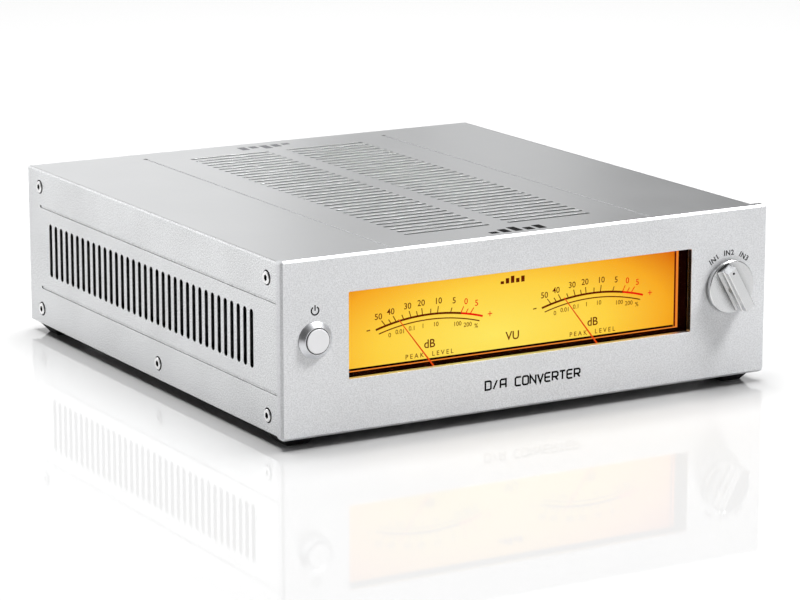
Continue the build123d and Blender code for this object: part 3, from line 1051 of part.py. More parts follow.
# ---------------------------------------------------------------- boards: posts, screws, components
POST_ACROSS, POST_BORE = 5.5, 4.0
with BuildPart() as board_posts:
    with BuildSketch(Plane.XY.offset(TRAY_TOP)):
        with Locations(*BOARD_POSTS):
            RegularPolygon(POST_ACROSS / 2, 6, major_radius=False)
    extrude(amount=MAIN_BOARD_Z - TRAY_TOP)
    with BuildSketch(Plane.XY.offset(TRAY_TOP)):
        with Locations(*BOARD_POSTS):
            Circle(M3_BUTTON[3])
    extrude(amount=-TRAY_T)
    with BuildSketch(Plane.XY.offset(MAIN_BOARD_Z)):
        with Locations(*BOARD_POSTS):
            Circle(M3_BUTTON[3] + THREAD_CLEAR)
    extrude(amount=-POST_BORE, mode=Mode.SUBTRACT)
board_posts.part.label = "board_posts"
export_step(board_posts.part, "parts/board_posts.step")

with BuildPart() as board_screws:
    for x, z in STANDOFFS:
        with Locations(Location((x, FRONT_Y + BOARD_DEPTH + BOARD_T, z), (-90, 0, 0))):
            add(m3_short)
    with Locations(*[(x, y, BOARD_TOP) for x, y in BOARD_POSTS]):
        add(m3_short)
board_screws.part.label = "board_screws"
export_step(board_screws.part, "parts/board_screws.step")

RESISTOR = (3.2, 1.6, 0.6)
LADDERS_X, LADDER_Y, LADDER_PITCH, LADDER_ROWS = (10.0, 34.0, 58.0, 82.0), 26.0, (4.4, 3.0), 16
with BuildPart() as ladder_resistors:
    with Locations(*[(x, LADDER_Y, BOARD_TOP) for x in LADDERS_X]):
        with GridLocations(LADDER_PITCH[0], LADDER_PITCH[1], 2, LADDER_ROWS):
            Box(*RESISTOR, align=LOW)
ladder_resistors.part.label = "ladder_resistors"
export_step(ladder_resistors.part, "parts/ladder_resistors.step")

CHIPS = [
    ((46.0, -18.0), (20.0, 20.0, 1.4)),
    ((90.0, 78.0), (12.0, 12.0, 1.2)),
    ((61.0, 72.0), (8.0, 8.0, 1.2)),
    ((90.0, -40.0), (14.0, 9.0, 5.0)),
    ((12.0, 78.0), (20.0, 12.0, 9.0)),
    ((36.0, 78.0), (20.0, 12.0, 9.0)),
]
with BuildPart() as chips:
    for (x, y), size in CHIPS:
        with Locations((x, y, BOARD_TOP)):
            Box(*size, align=LOW)
chips.part.label = "chips"
export_step(chips.part, "parts/chips.step")

VALVES_X, VALVE_Y, VALVE_R, VALVE_H = (8.0, 66.0), -52.0, 9.5, 36.0
VALVE_BASE, VALVE_SEAL_R, VALVE_TIP_R, VALVE_TIP_L = (8.7, 2.0), 6.5, 1.6, 4.0
VALVE_DOME_Z = VALVE_H + 0.85 * VALVE_R
SOCKET_R, SOCKET_H, SOCKET_EDGE_R = 11.0, 8.0, 1.0
with BuildPart() as valve_sockets:
    with Locations(*[(x, VALVE_Y, BOARD_TOP) for x in VALVES_X]):
        Cylinder(SOCKET_R, SOCKET_H, align=LOW)
    fillet(valve_sockets.edges().filter_by(GeomType.CIRCLE).group_by(Axis.Z)[-1], SOCKET_EDGE_R)
valve_sockets.part.label = "valve_sockets"
export_step(valve_sockets.part, "parts/valve_sockets.step")

with BuildPart() as valve:
    with BuildSketch(Plane.XZ):
        with BuildLine():
            Polyline((0, 0), (VALVE_BASE[0], 0), (VALVE_R, VALVE_BASE[1]), (VALVE_R, VALVE_H))
            ThreePointArc(
                (VALVE_R, VALVE_H), (VALVE_SEAL_R, VALVE_H + 0.62 * VALVE_R), (VALVE_TIP_R, VALVE_DOME_Z)
            )
            Polyline((VALVE_TIP_R, VALVE_DOME_Z), (0, VALVE_DOME_Z + VALVE_TIP_L), (0, 0))
        make_face()
    revolve(axis=Axis.Z)

with BuildPart() as valves:
    with Locations(*[(x, VALVE_Y, BOARD_TOP + SOCKET_H) for x in VALVES_X]):
        add(valve.part)
valves.part.label = "valves"
export_step(valves.part, "parts/valves.step")
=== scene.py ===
"""Looks of the desktop digital-to-analogue converter: materials, printed marks, small trim and the studio."""
import json
from math import cos, pi, radians, sin, sqrt, tau

import bmesh
import bpy
from mathutils import Matrix, Vector


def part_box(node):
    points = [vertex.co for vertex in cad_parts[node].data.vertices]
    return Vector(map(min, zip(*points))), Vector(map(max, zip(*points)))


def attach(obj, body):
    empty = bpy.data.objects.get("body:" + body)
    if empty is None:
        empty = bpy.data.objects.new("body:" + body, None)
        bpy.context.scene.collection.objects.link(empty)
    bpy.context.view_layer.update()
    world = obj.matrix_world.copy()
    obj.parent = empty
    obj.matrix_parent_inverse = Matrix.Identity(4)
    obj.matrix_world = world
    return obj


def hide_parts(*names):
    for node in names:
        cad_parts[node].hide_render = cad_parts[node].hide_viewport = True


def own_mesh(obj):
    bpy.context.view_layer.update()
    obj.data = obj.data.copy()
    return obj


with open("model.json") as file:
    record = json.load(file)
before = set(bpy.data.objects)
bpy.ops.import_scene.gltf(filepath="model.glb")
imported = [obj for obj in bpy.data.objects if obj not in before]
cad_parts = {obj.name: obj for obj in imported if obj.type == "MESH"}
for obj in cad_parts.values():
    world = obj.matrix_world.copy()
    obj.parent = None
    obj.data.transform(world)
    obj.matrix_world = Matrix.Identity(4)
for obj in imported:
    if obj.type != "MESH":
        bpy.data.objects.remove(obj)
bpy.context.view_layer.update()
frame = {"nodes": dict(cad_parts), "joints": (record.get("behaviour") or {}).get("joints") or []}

NODES = frame["nodes"]
JOINTS = {joint["name"]: joint for joint in frame["joints"]}
MM = 0.001


def srgb(red, green, blue):
    """A display colour of 0 to 255 as the linear colour that shaders take."""
    shares = [channel / 255 for channel in (red, green, blue)]
    return tuple(((c + 0.055) / 1.055) ** 2.4 if c > 0.04045 else c / 12.92 for c in shares)


def middle(node):
    """The middle of a CAD node's box."""
    low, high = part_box(node)
    return (low + high) / 2


# ---------------------------------------------------------------- places, from the frame
FRONT_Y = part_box("front_panel")[0].y
TOP_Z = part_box("top_cover")[1].z
DIAL_LOW, DIAL_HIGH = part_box("dial_plate")
DIAL_Y = DIAL_LOW.y
GLASS_LOW, GLASS_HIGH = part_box("window_glass")
GLASS_MARGIN = 1.9 * MM        # how far the glass reaches past the window on each side
WINDOW_LEFT, WINDOW_RIGHT = GLASS_LOW.x + GLASS_MARGIN, GLASS_HIGH.x - GLASS_MARGIN
WINDOW_BOTTOM, WINDOW_TOP = GLASS_LOW.z + GLASS_MARGIN, GLASS_HIGH.z - GLASS_MARGIN
WINDOW_X = (WINDOW_LEFT + WINDOW_RIGHT) / 2
METERS = {side: Vector(JOINTS[side + "_needle_swing"]["pos_m"]) for side in ("left", "right")}
KNOB = Vector(JOINTS["selector_turn"]["pos_m"])
KNOB_FACE_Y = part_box("selector_knob")[0].y
BUTTON = middle("power_button")
SPRING_LOW, SPRING_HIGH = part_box("button_spring")


# ---------------------------------------------------------------- materials: node helpers
class Finish:
    """A material with one Principled shader, and short ways of adding detail to it."""

    def __init__(self, name, color, roughness, metallic=0.0, **sockets):
        self.material = bpy.data.materials.new(name)
        self.material.use_nodes = True
        self.tree = self.material.node_tree
        self.shader = self.tree.nodes["Principled BSDF"]
        self.place = self.node("ShaderNodeTexCoord").outputs["Object"]
        self.color = color
        self.set("Base Color", (*color, 1.0))
        self.set("Roughness", roughness)
        self.set("Metallic", metallic)
        for socket, value in sockets.items():
            self.set(socket.replace("_", " "), value)

    def set(self, socket, value):
        """Sets a socket of the shader, or links it."""
        self.feed(self.shader.inputs[socket], value)
        return self

    def feed(self, socket, value):
        """Gives any socket a value, or links another socket to it."""
        if isinstance(value, bpy.types.NodeSocket):
            self.tree.links.new(value, socket)
        else:
            socket.default_value = value

    def node(self, kind, inputs=None, **settings):
        """A new node, with what its inputs take and how it is set."""
        made = self.tree.nodes.new(kind)
        for key, value in settings.items():
            setattr(made, key, value)
        for key, value in (inputs or {}).items():
            self.feed(made.inputs[key], value)
        return made

    def scaled(self, x, y, z, shift=(0, 0, 0)):
        """Object coordinates stretched along each axis, after a shift of the origin."""
        mapping = self.node("ShaderNodeMapping", {"Vector": self.place, "Scale": (x, y, z)})
        mapping.inputs["Location"].default_value = (-shift[0] * x, -shift[1] * y, -shift[2] * z)
        return mapping.outputs["Vector"]

    def parts(self, vector):
        """The X, Y and Z of a vector, as three sockets."""
        return self.node("ShaderNodeSeparateXYZ", {0: vector}).outputs

    def noise(self, size, detail=2.0, vector=None, roughness=0.5):
        """Noise of 0 to 1 with features of a size in metres."""
        inputs = {"Vector": vector or self.place, "Scale": 1 / size, "Detail": detail, "Roughness": roughness}
        return self.node("ShaderNodeTexNoise", inputs).outputs["Fac"]

    def math(self, operation, *values):
        made = self.node("ShaderNodeMath", operation=operation)
        for index, value in enumerate(values):
            self.feed(made.inputs[index], value)
        return made.outputs[0]

    def spread(self, value, low, high, start=0.3, end=0.7):
        """Maps a value from between start and end to between low and high."""
        inputs = {"Value": value, "From Min": start, "From Max": end, "To Min": low, "To Max": high}
        return self.node("ShaderNodeMapRange", inputs).outputs["Result"]

    def mix(self, factor, first, second):
        """A colour between two colours or sockets."""
        made = self.node("ShaderNodeMix", data_type="RGBA", clamp_factor=False)
        self.feed(made.inputs[0], factor)
        for index, value in ((6, first), (7, second)):
            self.feed(made.inputs[index], value if isinstance(value, bpy.types.NodeSocket) else (*value, 1.0))
        return made.outputs[2]

    def ramp(self, factor, stops):
        """A colour ramp; stops are (position, colour)."""
        made = self.node("ShaderNodeValToRGB", {"Fac": factor})
        elements = made.color_ramp.elements
        while len(elements) < len(stops):
            elements.new(1.0)
        for element, (position, color) in zip(elements, stops):
            element.position = position
            element.color = (*color, 1.0)
        return made.outputs["Color"]

    def relief(self, height, depth, strength, edge=0.0):
        """Bump from a height of 0 to 1, a depth in metres, and edges rounded by a radius in metres."""
        inputs = {"Height": height, "Distance": depth, "Strength": strength}
        if edge:
            inputs["Normal"] = self.node("ShaderNodeBevel", {"Radius": edge}, samples=6).outputs["Normal"]
        return self.set("Normal", self.node("ShaderNodeBump", inputs).outputs["Normal"])

    def tinted(self, factor, amount):
        """Varies the base colour by plus or minus an amount with a factor of 0 to 1."""
        darker = tuple(c * (1 - amount) for c in self.color)
        lighter = tuple(min(1.0, c * (1 + amount)) for c in self.color)
        return self.set("Base Color", self.mix(factor, darker, lighter))

    def shaded_inside(self, distance, closed, open_at, lift=0.0):
        """Blackens the base colour down in slots and holes.

        A place is as open as its surroundings within a distance leave it, plus the lift: it is black where
        that is closed or less, and keeps its colour where it is open_at or more.
        """
        base = self.shader.inputs["Base Color"]
        color = base.links[0].from_socket if base.links else tuple(base.default_value)[:3]
        air = self.node("ShaderNodeAmbientOcclusion", {"Distance": distance}, samples=8).outputs["AO"]
        openness = self.spread(self.math("ADD", air, lift), 0.0, 1.0, closed, open_at)
        return self.set("Base Color", self.mix(openness, DEEP_SHADE, color))

    def axis_distance(self, centre):
        """Distance from an axis along Y through a centre."""
        across = self.scaled(1, 0, 1, shift=centre)
        return self.node("ShaderNodeVectorMath", {0: across}, operation="LENGTH").outputs["Value"]


def paint(finish, *names):
    """Gives CAD nodes a finish."""
    for name in names:
        materials = NODES[name].data.materials
        materials.clear()
        materials.append(finish.material)


# ---------------------------------------------------------------- materials: metals
DEEP_SHADE = (0.003, 0.003, 0.003)
METAL_SHADE = {"distance": 3 * MM, "closed": 0.4, "open_at": 0.75}
CUT_DEPTH = 8 * MM            # how far round a point the shade in the case's slots looks
SIDEWAYS_LIFT = 0.14          # how much more open a face that looks sideways counts
SIDEWAYS = 0.7                # how far sideways a face looks to count as such
MILLED_ROUGHNESS = 0.36
LOOKS_UP = (0.8, 0.95)        # how far up a face looks where the milling begins, and where it is full
COIL_WIRE_PITCH, TOROID_TURNS = 0.25 * MM, 90


def blasted_aluminium(name, color, grain, relief, roughness, cuts=None, edge=0.22 * MM, metallic=1.0):
    """Bead-blasted, clear-anodised aluminium: a fine speckle, faint clouding and softly broken edges.

    cuts gives how open a place is where it turns black, and where it is clear of shade. Faces that look
    straight up are bare metal, and no rougher than MILLED_ROUGHNESS.
    """
    made = Finish(name, color, roughness, metallic)
    speckle = made.noise(0.55 * MM, roughness=0.6)
    cloud = made.noise(30 * MM)
    uneven = made.math("ADD", speckle, made.math("MULTIPLY", cloud, 0.12))
    shade = made.spread(uneven, 1 - grain, 1 + grain, 0.35, 0.8)
    made.set("Base Color", made.mix(shade, (0, 0, 0), color))
    across, _, up = made.parts(made.node("ShaderNodeTexCoord").outputs["Normal"])
    if cuts:
        looks_sideways = made.math("GREATER_THAN", made.math("ABSOLUTE", across), SIDEWAYS)
        made.shaded_inside(CUT_DEPTH, *cuts, lift=made.math("MULTIPLY", looks_sideways, SIDEWAYS_LIFT))
    if metallic < 1:
        made.set("Metallic", made.spread(up, metallic, 1.0, *LOOKS_UP))
    satin = made.spread(cloud, roughness - 0.02, roughness + 0.02)
    if roughness > MILLED_ROUGHNESS:
        satin = made.math("ADD", satin, made.spread(up, 0.0, MILLED_ROUGHNESS - roughness, *LOOKS_UP))
    made.set("Roughness", satin)
    return made.relief(speckle, 0.02 * MM, relief, edge=edge)


def turned_metal(name, color, centre, roughness):
    """Bright metal with fine turning marks round an axis along Y."""
    made = Finish(name, color, roughness, metallic=1.0)
    outward = made.node("ShaderNodeCombineXYZ", {"X": made.axis_distance(centre)}).outputs["Vector"]
    rings = made.noise(0.09 * MM, 1.0, vector=outward)
    made.tinted(rings, 0.05)
    made.shaded_inside(**METAL_SHADE)
    made.set("Roughness", made.spread(rings, roughness * 0.8, roughness * 1.3))
    return made.relief(rings, 0.004 * MM, 0.5, edge=0.12 * MM)


def plated_metal(name, color, roughness, grain=(1, 1, 1), clouding=0.08):
    """Plated metal with faint drawn lines and a little clouding."""
    made = Finish(name, color, roughness, metallic=1.0)
    lines = made.noise(0.5 * MM, 3.0, vector=made.scaled(*grain))
    cloud = made.noise(4 * MM, 3.0)
    made.tinted(made.spread(cloud, 0.0, 1.0), clouding)
    made.shaded_inside(**METAL_SHADE)
    made.set("Roughness", made.spread(lines, roughness * 0.75, roughness * 1.35))
    return made.relief(lines, 0.01 * MM, 0.35, edge=0.15 * MM)


def wound(made, turns):
    """Enamelled wire laid in turns: fine ridges with painted shade in the grooves between them, where turns
    is a socket that counts them.
    """
    ridge = made.math("ABSOLUTE", made.math("SINE", made.math("MULTIPLY", turns, pi)))
    # painted shade: the colour is darker in the grooves between turns, varied by a faint noise
    made.tinted(made.math("MULTIPLY", ridge, made.noise(3 * MM, 3.0)), 0.35)
    return made.relief(ridge, 0.12 * MM, 0.8)


def coil_wire(name, pivot):
    """Copper wire of a meter's coil, its turns side by side along Y."""
    made = Finish(name, srgb(196, 108, 54), 0.3, metallic=0.85)
    along = made.parts(made.scaled(1, 1, 1, shift=pivot))["Y"]
    return wound(made, made.math("MULTIPLY", along, 1 / COIL_WIRE_PITCH))


def toroid_tape():
    """Copper-coloured winding of the transformer, its turns spread by the angle round a vertical axis."""
    made = Finish("toroid_tape", srgb(204, 152, 60), 0.3, metallic=0.85)
    around = {"Vector": made.scaled(1, 1, 0, shift=middle("transformer"))}
    angle = made.node("ShaderNodeTexGradient", around, gradient_type="RADIAL").outputs["Fac"]
    return wound(made, made.math("MULTIPLY", angle, TOROID_TURNS))


# ---------------------------------------------------------------- materials: plastics and others
def moulded(name, color, roughness, texture=0.25, size=0.35 * MM, clouding=0.06, **sockets):
    """Moulded plastic or rubber: fine spark-eroded texture and slight clouding."""
    made = Finish(name, color, roughness, **sockets)
    pits = made.noise(size, 3.0, roughness=0.6)
    cloud = made.noise(9 * MM, 3.0)
    uneven = made.math("ADD", cloud, made.math("MULTIPLY", pits, 0.3))
    made.tinted(made.spread(uneven, 0.0, 1.0, 0.35, 0.95), clouding)
    made.set("Roughness", made.spread(pits, roughness - 0.06, roughness + 0.06))
    return made.relief(pits, 0.02 * MM, texture, edge=0.15 * MM)


def clear(name, color, roughness, ior):
    """Clear glass or acrylic, with a faint smear in its polish."""
    made = Finish(name, color, roughness, Transmission_Weight=1.0, IOR=ior)
    smear = made.noise(14 * MM, 3.0, vector=made.scaled(1, 1, 0.4))
    made.set("Roughness", made.spread(smear, roughness * 0.5, roughness * 1.5))
    return made.tinted(smear, 0.01)


def circuit_board(name, flat):
    """Solder-masked laminate: copper tracks that show through the mask, tinned pads and a woven ground.

    flat is 1 for each of the two directions that the board's face lies along.
    """
    mask, copper_under_mask, tin = srgb(16, 62, 34), srgb(38, 104, 52), srgb(190, 188, 178)
    made = Finish(name, mask, 0.32)
    vector = made.scaled(*flat)
    weave = made.noise(0.5 * MM, 1.0, vector=vector)
    bricks = {
        "Vector": vector, "Scale": 1 / (9 * MM), "Mortar Size": 0.05, "Brick Width": 1.4, "Row Height": 0.33,
    }
    cells = made.node("ShaderNodeTexBrick", bricks, offset=0.37, squash=1.6).outputs["Fac"]
    squares = {"Vector": vector, "Scale": 1 / (5.2 * MM), "Randomness": 0.35}
    dots = made.node("ShaderNodeTexVoronoi", squares, distance="CHEBYCHEV").outputs["Distance"]
    pads = made.math("LESS_THAN", dots, 0.09)
    tracks = made.mix(cells, mask, copper_under_mask)
    woven = made.mix(made.math("MULTIPLY", weave, 0.3), tracks, (0, 0, 0))
    made.set("Base Color", made.mix(pads, woven, tin))
    made.set("Metallic", made.math("MULTIPLY", pads, 0.9))
    made.set("Roughness", made.spread(weave, 0.26, 0.4))
    return made.relief(made.math("MAXIMUM", cells, pads), 0.035 * MM, 0.7)


# colours of the lit film, from the rim of the glow to its centre
DIAL_GLOW = (
    (0.0, srgb(216, 100, 6)),
    (0.22, srgb(248, 170, 34)),
    (0.5, srgb(255, 210, 66)),
    (1.0, srgb(255, 232, 98)),
)
# painted reflection: the orange that the frame's glossy inner walls throw back from the glow, drawn on the
# film
DIAL_FRAME_REFLECTION = srgb(240, 132, 46)
RIGHT_REFLECTION = (2.0 * MM, 1.4 * MM)       # in from the window's right side: where it begins, and is full
BOTTOM_REFLECTION = (0.5 * MM, 1.1 * MM)      # up from the window's bottom: where it is full, and ends
GLOW_REACH_X, GLOW_REACH_Z = 118 * MM, 46 * MM
GLOW_CENTRE = (WINDOW_X - 9 * MM, 0, WINDOW_BOTTOM + 8 * MM)


def lit_dial():
    """Printed film lit from behind: brightest low in the middle, deep amber towards the upper corners.

    A painted reflection of the glow in the frame's inner walls runs in orange along the window's right side
    and its bottom.
    """
    made = Finish("lit_dial_film", (0.02, 0.01, 0.0), 0.5, Specular_IOR_Level=0.05, Emission_Strength=1.0)
    around = {"Vector": made.scaled(1 / GLOW_REACH_X, 0, 1 / GLOW_REACH_Z, shift=GLOW_CENTRE)}
    glow = made.node("ShaderNodeTexGradient", around, gradient_type="SPHERICAL").outputs["Fac"]
    grain = made.math("MULTIPLY", made.noise(0.6 * MM), 0.03)
    film = made.ramp(made.math("SUBTRACT", glow, grain), DIAL_GLOW)
    across, _, up = made.parts(made.place)
    # where the painted reflection lies: along the window's right side and along its bottom
    reflected_at_right = made.spread(across, 0.0, 1.0, *(WINDOW_RIGHT - inset for inset in RIGHT_REFLECTION))
    reflected_at_bottom = made.spread(up, 1.0, 0.0, *(WINDOW_BOTTOM + inset for inset in BOTTOM_REFLECTION))
    return made.set("Emission Color", made.mix(made.math("MAXIMUM", reflected_at_right, reflected_at_bottom), film, DIAL_FRAME_REFLECTION))


LIT_INK_SHARE = 0.15      # how much of its colour an ink with a glow shows in reflected light


def ink(name, color, roughness=0.55, glow=0.0, shine=0.0):
    """Screen-printing ink: slightly uneven cover and a low orange-peel surface.

    Ink with a glow is lit through from behind, so most of its colour comes from the light.
    """
    base = tuple(c * LIT_INK_SHARE for c in color) if glow else color
    made = Finish(name, base, roughness, Specular_IOR_Level=shine)
    cover = made.noise(0.25 * MM)
    made.tinted(cover, 0.18)
    made.set("Roughness", made.spread(cover, roughness - 0.08, roughness + 0.08))
    if glow:
        made.set("Emission Color", (*color, 1.0))
        made.set("Emission Strength", glow)
    return made.relief(cover, 0.006 * MM, 0.4)


# ---------------------------------------------------------------- materials of the CAD nodes
ALUMINIUM = srgb(225, 226, 227)
BRIGHT_ALUMINIUM = srgb(236, 237, 238)
PANEL_ALUMINIUM = srgb(224, 225, 227)
STEEL = srgb(176, 177, 180)

paint(
    blasted_aluminium("blasted_panel", PANEL_ALUMINIUM, grain=0.17, relief=0.9, roughness=0.5, metallic=0.5),
    "front_panel", "rear_panel",
)
paint(
    blasted_aluminium(
        "blasted_side", ALUMINIUM, grain=0.35, relief=1.0, roughness=0.46, cuts=(0.66, 0.84), edge=0.45 * MM
    ),
    "left_side_plate", "right_side_plate",
)
paint(
    blasted_aluminium(
        "fine_blasted_cover", ALUMINIUM, grain=0.015, relief=0.12, roughness=0.36, cuts=(0.32, 0.57),
        edge=0.1 * MM,
    ),
    "top_cover", "bottom_plate",
)
paint(
    blasted_aluminium(
        "satin_knob", BRIGHT_ALUMINIUM, grain=0.012, relief=0.02, roughness=0.24, cuts=(0.5, 0.86),
        edge=0.12 * MM,
    ),
    "selector_knob",
)
paint(turned_metal("turned_ring", srgb(222, 223, 226), BUTTON, 0.3), "power_button_ring", "ring_nut")
cap_finish = moulded("satin_cap", srgb(226, 226, 228), 0.42, texture=0.05, clouding=0.01)
cap_finish.shaded_inside(4 * MM, closed=0.75, open_at=0.95)
paint(cap_finish, "power_button")
paint(
    plated_metal("nickel_plate", STEEL, 0.3),
    "rear_screws", "front_panel_screws", "foot_screws", "light_frame_screws", "board_screws",
    "front_standoffs", "board_posts", "transformer_bolt",
)
paint(plated_metal("bright_screw", srgb(250, 250, 250), 0.34, clouding=0.02), "side_screws")
paint(
    plated_metal("drawn_steel", STEEL, 0.34, grain=(0.1, 1, 1)),
    "meter_bracket", "selector_switch", "usb_socket",
)
spring_finish = plated_metal("spring_wire", srgb(150, 150, 154), 0.22)
paint(spring_finish, "button_spring")
paint(turned_metal("turned_spindle", srgb(196, 196, 190), KNOB, 0.24), "selector_shaft")
paint(
    plated_metal("satin_nickel", srgb(196, 195, 190), 0.36, clouding=0.05),
    "left_balanced_output", "right_balanced_output",
)
paint(
    plated_metal("gold_plate", srgb(232, 186, 92), 0.2, clouding=0.1),
    "left_output_jack", "right_output_jack", "coaxial_input_jack", "connector_pins",
)
paint(
    plated_metal("sintered_iron", srgb(92, 92, 96), 0.55, clouding=0.2),
    "left_meter_magnet", "right_meter_magnet",
)
for side, pivot in METERS.items():
    paint(coil_wire(side + "_coil_wire", pivot), side + "_meter_coil")
paint(toroid_tape(), "transformer")

paint(clear("window_pane", (0.98, 0.98, 0.98), 0.01, ior=1.06), "window_glass")
paint(clear("valve_bulb", (0.96, 0.97, 0.97), 0.02, ior=1.3), "valves")
paint(clear("acrylic_guide", (0.97, 0.95, 0.9), 0.08, ior=1.45), "light_guide")
paint(lit_dial(), "dial_plate")
paint(moulded("white_tray", srgb(226, 226, 220), 0.5), "reflector")
paint(moulded("black_frame", srgb(30, 7, 2), 0.3, texture=0.03, Specular_IOR_Level=0.0), "light_frame")
paint(
    moulded("black_plastic", srgb(20, 20, 21), 0.45),
    "power_switch", "mains_inlet", "rocker_frame", "optical_input", "optical_shutter", "chips",
)
paint(moulded("rocker_gloss", srgb(16, 16, 17), 0.25, texture=0.06), "mains_rocker")
paint(moulded("resistor_glaze", srgb(28, 28, 30), 0.3, size=0.2 * MM), "ladder_resistors")
paint(moulded("foot_rubber", srgb(15, 15, 15), 0.72, texture=0.6, size=0.6 * MM), "feet")
paint(moulded("glazed_ceramic", srgb(232, 228, 214), 0.22, texture=0.08), "valve_sockets")
paint(moulded("white_insulator", srgb(228, 228, 224), 0.35), "jack_insulators")
paint(moulded("capacitor_sleeve", srgb(24, 30, 58), 0.3, texture=0.1), "power_capacitors")
paint(moulded("led_package", srgb(240, 216, 120), 0.35), "leds")
paint(circuit_board("flat_board", flat=(1, 1, 0)), "power_board", "main_board")
paint(circuit_board("upright_board", flat=(1, 0, 1)), "front_board")
paint(circuit_board("strip_board", flat=(1, 1, 0)), "led_board")
# the needles' red is their paint; their glow is painted light, as if the dial's light came through them
paint(ink("needle_paint", srgb(224, 72, 14), 0.4, glow=0.95, shine=0.05), "left_needle", "right_needle")


# ---------------------------------------------------------------- pieces: mesh helpers
FACING = {
    "front": Matrix(((1, 0, 0), (0, 0, -1), (0, 1, 0))),
    "left": Matrix(((0, 0, -1), (1, 0, 0), (0, 1, 0))),
    "top": Matrix(((1, 0, 0), (0, 1, 0), (0, 0, 1))),
    "top_from_rear": Matrix(((-1, 0, 0), (0, -1, 0), (0, 0, 1))),
}
INK_THICKNESS = 0.03 * MM
CAPITAL_SHARE = 0.69      # height of a capital as a share of the type's size
LEAST_MITRE = 0.35        # keeps the corner of a stroke from running out to a spike


def as_object(name, mesh, finish):
    """Turns a bmesh into an object in the scene, with a finish."""
    data = bpy.data.meshes.new(name)
    mesh.to_mesh(data)
    mesh.free()
    data.materials.append(finish.material)
    made = bpy.data.objects.new(name, data)
    bpy.context.scene.collection.objects.link(made)
    return made


def printed(name, mesh, facing, origin, finish, body="case"):
    """Turns flat faces into a thin printed layer at an origin on the object, which rides on a body.

    The faces are drawn flat, with X to the reader's right and Y up, and facing turns them to where they
    are read from.
    """
    bmesh.ops.recalc_face_normals(mesh, faces=mesh.faces)
    for face in mesh.faces:
        if face.normal.z < 0:
            face.normal_flip()
    piece = as_object(name, mesh, finish)
    piece.data.transform(Matrix.Translation(origin) @ FACING[facing].to_4x4())
    layer = piece.modifiers.new("thickness", "SOLIDIFY")
    layer.thickness = INK_THICKNESS
    layer.offset = 1.0
    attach(piece, body)


def add_face(mesh, corners):
    mesh.faces.new([mesh.verts.new((x, y, 0)) for x, y in corners])


def add_stroke(mesh, points, width):
    """A band of even width along points, with mitred corners."""
    points = [Vector(p) for p in points]
    closed = (points[0] - points[-1]).length < 1e-9
    if closed:
        points.pop()
    count = len(points)
    sides = []
    for index, point in enumerate(points):
        before = points[index - 1] if closed or index else None
        after = points[(index + 1) % count] if closed or index < count - 1 else None
        headings = [(b - a).normalized() for a, b in ((before, point), (point, after)) if a and b]
        heading = sum(headings, Vector((0, 0))).normalized()
        normal = Vector((-heading.y, heading.x))
        reach = width / 2 / max(LEAST_MITRE, normal.dot(Vector((-headings[0].y, headings[0].x))))
        sides.append([mesh.verts.new((*(point + normal * reach * sign), 0)) for sign in (-1, 1)])
    for index in range(count if closed else count - 1):
        (a, b), (c, d) = sides[index], sides[(index + 1) % count]
        mesh.faces.new((a, c, d, b))


def arc_points(radius, start, end, steps):
    """Points on an arc about the origin; angles in degrees from the right, anticlockwise."""
    angles = [radians(start + (end - start) * step / steps) for step in range(steps + 1)]
    return [(radius * cos(a), radius * sin(a)) for a in angles]


def add_text(mesh, text, height, centre, turn=0.0, weight=0.0, spacing=1.0):
    """Plain lettering, centred on a point and turned by degrees."""
    curve = bpy.data.curves.new("type", "FONT")
    curve.body = text
    curve.size = height / CAPITAL_SHARE
    curve.align_x, curve.align_y = "CENTER", "CENTER"
    curve.space_character = spacing
    curve.offset = weight * curve.size
    curve.resolution_u = 3
    lettering = bpy.data.objects.new("type", curve)
    bpy.context.scene.collection.objects.link(lettering)
    flat = bpy.data.meshes.new_from_object(lettering.evaluated_get(bpy.context.evaluated_depsgraph_get()))
    xs, ys = [v.co.x for v in flat.vertices], [v.co.y for v in flat.vertices]
    text_middle = Vector(((min(xs) + max(xs)) / 2, (min(ys) + max(ys)) / 2, 0))
    turned = Matrix.Rotation(radians(turn), 4, "Z") @ Matrix.Translation(-text_middle)
    flat.transform(Matrix.Translation((*centre, 0)) @ turned)
    mesh.from_mesh(flat)
    bpy.data.objects.remove(lettering)
    bpy.data.curves.remove(curve)
    bpy.data.meshes.remove(flat)


# ---------------------------------------------------------------- marks on the dial
dial_ink = ink("dial_brown_ink", srgb(104, 30, 2), glow=0.8)
pale_ink = ink("dial_pale_ink", srgb(132, 82, 14), glow=0.9)
red_ink = ink("dial_red_ink", srgb(226, 26, 10), glow=1.0)

# the level scale: heights are above the ground, distances from each meter's middle
SCALE_TOP, SCALE_R = 48.5 * MM, 93 * MM
SCALE_BAND, SCALE_HALF, RED_FROM = 0.9 * MM, 26.35 * MM, 15.6 * MM
FINE_TOP, FINE_R, FINE_BAND, FINE_HALF = 45.85 * MM, 89.4 * MM, 0.5 * MM, 24.85 * MM
CURVE_STEPS = 24
FAN_Z = 18 * MM           # height of the point that the marks fan out from
